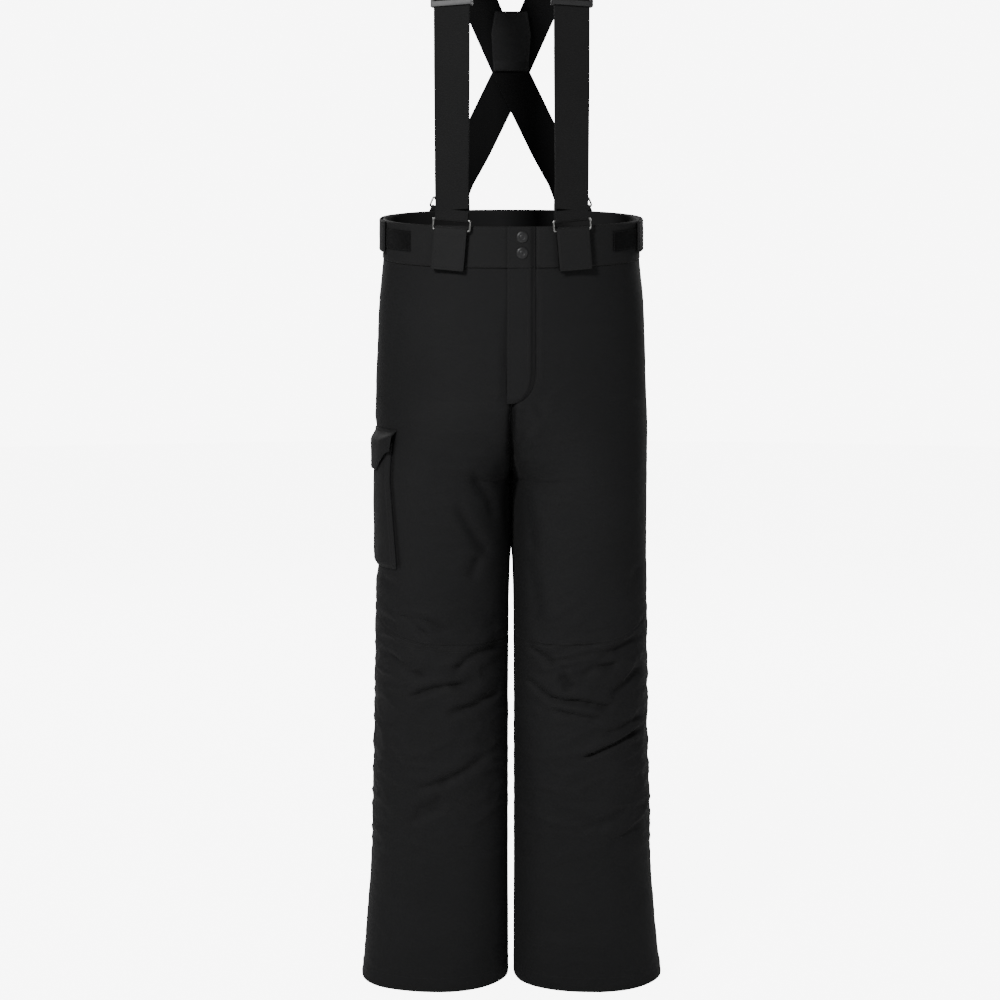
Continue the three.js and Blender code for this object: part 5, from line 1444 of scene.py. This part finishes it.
def strap_mesh(P, W, Hh, name, mat, body, replace=(), ride=True, seedy=0.0):
    C = catmull(P, 7)
    n_in = len(P)
    src = np.linspace(0, n_in - 1, len(C))
    Wc = np.stack([np.interp(src, np.arange(n_in), W[:, k]) for k in range(3)], 1)
    Hc = np.interp(src, np.arange(n_in), Hh)
    C, Wc, Hc = resample(C, 2.6, Wc, Hc)
    T = unit(np.gradient(C, axis=0))
    Wc = unit(Wc - T * (Wc * T).sum(-1, keepdims=True))
    Nn = np.cross(T, Wc)
    s = np.concatenate([[0], np.cumsum(np.linalg.norm(np.diff(C, axis=0), axis=1))])
    base = np.array(rounded(2.0, 1.0, r=0.035, nw=15))
    prof = np.zeros((len(C), len(base), 2))
    for i in range(len(C)):
        half = Hc[i]
        x = base[:, 0] * half
        # faint lengthwise ribs and ripples
        t = base[:, 1] * 1.5
        rib = 0.05 * np.cos(x * 2 * math.pi / 5.2) * np.sign(base[:, 1]) * (np.abs(base[:, 0]) < 0.93)
        drift = 0.22 * math.sin(s[i] / 41.0 + seedy) * (x / half) ** 2
        prof[i, :, 0] = x
        prof[i, :, 1] = t + rib + drift
    v, f, uv = sweep(C, Wc, Nn, prof)
    o = new_object(name, v, f, mat, body, uv=uv, replace=replace, ride=ride)
    o.data.materials.append(M_WEB_PAINTED_SHADE)
    fn = np.zeros(len(o.data.polygons) * 3)
    o.data.polygons.foreach_get("normal", fn)
    fc = np.zeros(len(o.data.polygons) * 3)
    o.data.polygons.foreach_get("center", fc)
    fn, fc = fn.reshape(-1, 3), fc.reshape(-1, 3)
    # painted shade: the face turned to the wearer gets a darker, duller copy of the webbing
    inward = np.where(np.abs(fc[:, 2:3] - 0.36) < 0.03, np.array([0, 0, -1.0]), np.stack([0 * fc[:, 0], -np.sign(fc[:, 1]), 0 * fc[:, 0]], -1))
    o.data.polygons.foreach_set("material_index", ((fn * inward).sum(-1) > 0.45).astype(np.int32))
    sharp_edges(o, 75)
    return o, C, Wc, Nn, Hc, s


for side, nm in ((-1, "right"), (1, "left")):
    P, W, Hh, split = strap_path(side)
    o, C, Wc, Nc, Hc, s = strap_mesh(P[:split + 1], W[:split + 1], Hh[:split + 1], f"webbing_{nm}", M_WEB, "pants", replace=(f"strap_{nm}",), seedy=1.0 * side)
    # box stitching where the ends are sewn back
    o2, C2, W2, N2_, H2, s2 = strap_mesh(P[split:], W[split:], Hh[split:], f"webbing_return_{nm}", M_WEB, "pants", ride=False, seedy=2.0 * side)
    s0 = C2[3] * MM
    s1 = C2[-3] * MM
    tuple(s0)
    tuple(s1)
    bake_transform(o2)
    # stitched end above the back ring
    key = "back_left" if side < 0 else "back_right"
    fb = TABS[key]
    thr_pts = []
    for u_ in (24, 36):
        ws = np.linspace(-19, 19, 12)
        threads.row([loc(fb, w_, 2.15, RING_H + u_) for w_ in ws], [fb["n"]] * 12)
    for w_ in (-19, 19):
        us_ = np.linspace(24, 36, 6)
        threads.row([loc(fb, w_, 2.15, RING_H + q) for q in us_], [fb["n"]] * 6)
    bevelled_copy(f"tri_glide_{nm}", f"adjuster_{nm}", M_ADJ, f"adjuster_{nm}", 0.8, 3)


# crossing patches
def patch_piece(name, y0, y1, tilt, node, front):
    xs = np.linspace(-1, 1, 34)
    zs = np.linspace(201, 279, 40)
    X, Z = np.meshgrid(xs, zs, indexing="ij")
    wz = np.interp(Z, [201, 250, 279], [24, 27, 22])
    U = X * wz
    Y0 = y0 - np.maximum(0, Z - 215) * tilt
    d0, d1 = np.minimum(1, (1 - np.abs(X)) * wz / 2.0), np.minimum(1, np.minimum(Z - 201, 279 - Z) / 2.0)
    k = 0.2 + 0.8 * np.sqrt(np.clip(1 - (1 - np.minimum(d0, d1)) ** 2, 0, 1))
    n = 0.35 * noise3(np.stack([U, Y0 * 0, Z], -1) / 14.0)
    mid, half = (y0 + y1) / 2 - y0, abs(y0 - y1) / 2
    sgn = -1 if front else 1
    O = np.stack([U, Y0 + mid + sgn * (half * k + n * 0.6 * k), Z], -1)
    I = np.stack([U, Y0 + mid - sgn * half * k, Z], -1)
    v, f = grid_solid(O, I)
    o = new_object(name, v, f, M_PATCH, "pants", uv=grid_uv(O), replace=(node,))
    Nn = np.tile(np.array([0, sgn * 1.0, 0]), O.shape[:2] + (1,))
    for e in ("u0", "u1", "v0", "v1"):
        threads.row(*inset(O, Nn, e, 3.0))
    return o


patch_piece("patch_cross_inner", 100.4, 98.8, 0.28, "cross_patch_inner", True)
patch_piece("patch_cross_outer", 114.6, 113.0, 0.06, "cross_patch_outer", False)

# =====================================================================
# Cargo pocket
# =====================================================================
PK_F, PK_B, PK_TOP, PK_LOW = -79.0, 78.0, -296.0, -463.0
FLAP_TOP, FLAP_LOW = -279.0, -333.0


def at_leg(U, V, d):
    return off(-1, psi_at_y(V, U), V, d)


ys = np.concatenate([np.linspace(PK_F, PK_F + 6, 8), np.linspace(PK_F + 6, PK_B - 6, 44)[1:-1], np.linspace(PK_B - 6, PK_B, 8)])
zs = np.concatenate([np.linspace(PK_TOP, PK_TOP - 6, 5), np.linspace(PK_TOP - 6, PK_LOW + 6, 46)[1:-1], np.linspace(PK_LOW + 6, PK_LOW, 8)])
U, V = np.meshgrid(ys, zs, indexing="ij")
G = at_leg(U, V, np.full(U.shape, 4.0))
u0, u1, v0, v1 = edge_dist(G)
dist = np.minimum(np.minimum(u0, u1), v1)
up = smooth(0, 5.5, dist)
wr = np.clip(ridged(np.stack([G[..., 0], G[..., 1] / 34.0, G[..., 2] / 60.0], -1) * np.array([0.02, 1, 1]) + 1.7) - 0.3, 0, 1)
ho = 2.4 + (5.3 - 2.4) * up + (1.1 * wr + 0.9 * noise3(G / 40.0)) * smooth(2, 16, dist) - 0.4 * np.exp(-((dist - 3.4) / 1.2) ** 2)
ho = ho - 0.9 * np.exp(-((u0 - 9) / 3.2) ** 2) * smooth(-300, -330, V)
ho = np.minimum(ho, np.where((V > -330) & (np.abs(U) < 26), 5.6, 8.5))
hi = 0.8 + (4.1 - 0.8) * up
v, f = grid_solid(at_leg(U, V, ho), at_leg(U, V, np.minimum(hi, ho - 1.0)))
o = new_object("pocket_cargo", v, f, M_SHELL, "pants", uv=grid_uv(G), replace=("cargo_pocket",))
sharp_edges(o, 70)
O = at_leg(U, V, ho)
Nn = normal(-1, psi_at_y(V, U), V)
declare(o, O)
for e in ("u0", "u1", "v1"):
    threads.row(*inset(O, Nn, e, 3.2))
    threads.row(*inset(O, Nn, e, 8.4))
threads.row(*inset(O, Nn, "v0", 14.0))
soft_plate("loop_pile_cargo", at_leg, np.linspace(-22, 22, 24), np.linspace(-306, -326, 12), 6.4, 5.7, M_LOOP, replace=("cargo_loop_tape",), edge=0.8, wob=0.05)
thr_c = Thread()
soft_plate("hook_tape_cargo_flap", at_leg, np.linspace(-22, 22, 24), np.linspace(-307, -325, 12), 7.1, 6.6, M_HOOK, body="cargo_flap", replace=("cargo_hook_tape",), edge=0.6, wob=0.0)
ys = np.concatenate([np.linspace(PK_F - 4, PK_F + 2, 7), np.linspace(PK_F + 2, PK_B - 2, 50)[1:-1], np.linspace(PK_B - 2, PK_B + 4, 7)])


def at_flap(U, V, d):
    # the same points as on the leg; the front corner's slant and the lower edge standing away are shaped in the flap's
    # grid below
    return at_leg(U, V, d)


fz = np.concatenate([np.linspace(0, 0.08, 5), np.linspace(0.08, 0.93, 16)[1:], np.linspace(0.93, 1, 5)[1:]])
U, Tt = np.meshgrid(ys, fz, indexing="ij")
low = FLAP_LOW + 26 * (1 - smooth(PK_F - 4, PK_F + 26, U)) + 10 * smooth(PK_B - 20, PK_B + 4, U)
V = FLAP_TOP + (low - FLAP_TOP) * Tt
G = at_leg(U, V, np.full(U.shape, 8.0))
u0, u1, v0, v1 = edge_dist(G)
dist = np.minimum(np.minimum(u0, u1), v1)
k = 0.3 + 0.7 * pad_profile(np.clip(dist, 0, 2.2), None, None, 2.2)
# sewn edge on top comes down to the thigh
seat = smooth(0, 0.34, Tt)
mid = 1.1 + (8.2 - 1.1) * seat + 1.4 * Tt * (1 - smooth(PK_F, PK_F + 40, U)) + 0.5 * noise3(G / 24.0) * seat
half = 0.85
so, si = mid + half * k, mid - half * k
O, I = at_leg(U, V, so), at_leg(U, V, si)
v, f = grid_solid(O, I)
o = new_object("flap_cargo", v, f, M_SHELL, "cargo_flap", uv=grid_uv(G), replace=("cargo_flap",), ride=False)
sharp_edges(o, 70)
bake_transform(o)
gN = normal(-1, psi_at_y(V, U), V)
for e, d in (("u0", 3.0), ("u1", 3.0), ("v1", 3.0), ("v1", 8.0)):
    thr_c.row(*inset(O, gN, e, d))
t = thr_c.build("stitches_cargo_flap", M_THREAD, "cargo_flap")
t.parent = None
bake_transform(t)
threads.row(*inset(O, gN, "v0", 1.6))

threads.build("stitches_shell", M_THREAD, "pants")
t = fly_threads.build("stitches_fly", M_THREAD, "fly_overlap")

# =====================================================================
# Stage, light, camera
# =====================================================================
KEY, FILL, REAR, AMBIENT, BACKDROP = 66, 10, 46, 0.06, 8.0
sc = bpy.context.scene
me = bpy.data.meshes.new("floor")
n = 48
R_ = 9.0
fv = [(0, 0, HEM_Z * MM - 0.0015)] + [(R_ * math.cos(2 * math.pi * k / n), R_ * math.sin(2 * math.pi * k / n), HEM_Z * MM - 0.0015) for k in range(n)]
me.from_pydata(fv, [], [(0, 1 + k, 1 + (k + 1) % n) for k in range(n)])
floor = bpy.data.objects.new("floor", me)
sc.collection.objects.link(floor)
mf, nt, b = base_material("floor_pale", (0.9, 0.9, 0.9), 0.95, spec=0.0)
b.inputs["Emission Color"].default_value = (1, 1, 1, 1)
lpf = N(nt, "ShaderNodeLightPath")
mrf = N(nt, "ShaderNodeMapRange")
mrf.inputs["To Min"].default_value, mrf.inputs["To Max"].default_value = 0.0, BACKDROP * 0.94
nt.links.new(lpf.outputs["Is Camera Ray"], mrf.inputs["Value"])
nt.links.new(mrf.outputs["Result"], b.inputs["Emission Strength"])
me.materials.append(mf)
floor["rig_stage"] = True

world = bpy.data.worlds.new("studio")
sc.world = world
world.use_nodes = True
nt = world.node_tree
bg = nt.nodes["Background"]
lp = N(nt, "ShaderNodeLightPath")
mr = N(nt, "ShaderNodeMapRange")
mr.inputs["To Min"].default_value, mr.inputs["To Max"].default_value = AMBIENT, BACKDROP
nt.links.new(lp.outputs["Is Camera Ray"], mr.inputs["Value"])
nt.links.new(mr.outputs["Result"], bg.inputs["Strength"])
bg.inputs["Color"].default_value = (1, 1, 1, 1)


def area(name, loc_, target, size, power):
    d = bpy.data.lights.new(name, "AREA")
    d.shape = "RECTANGLE"
    d.size, d.size_y = size
    d.energy = power
    o = bpy.data.objects.new(name, d)
    o.location = loc_
    o.rotation_euler = (Vector(target) - Vector(loc_)).to_track_quat("-Z", "Y").to_euler()
    sc.collection.objects.link(o)
    return o


area("key", (-1.4, -2.6, 1.45), (0, 0, -0.5), (0.55, 0.55), KEY)
area("fill", (1.9, -2.4, 0.2), (0, 0, -0.45), (1.4, 1.8), FILL)
area("rear_left", (-1.3, 2.9, 1.3), (0, 0, -0.4), (1.2, 1.2), REAR)
area("rear_right", (1.7, 2.7, 0.9), (0, 0, -0.4), (1.2, 1.2), REAR * 0.6)

cam = bpy.data.cameras.new("camera")
cam.lens, cam.sensor_width, cam.sensor_fit = 68.4, 36.0, "HORIZONTAL"
cam.clip_start, cam.clip_end = 0.05, 60
co = bpy.data.objects.new("camera", cam)
co.location = (-0.015, -2.55795, -0.08856)
co.rotation_euler = (math.radians(90 - 6.5), 0, 0)
sc.collection.objects.link(co)
sc.camera = co

plain = lambda b: [[float(q) for q in c] for c in b]
{"cad": plain(CAD_BOX), "visual": plain(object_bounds())}
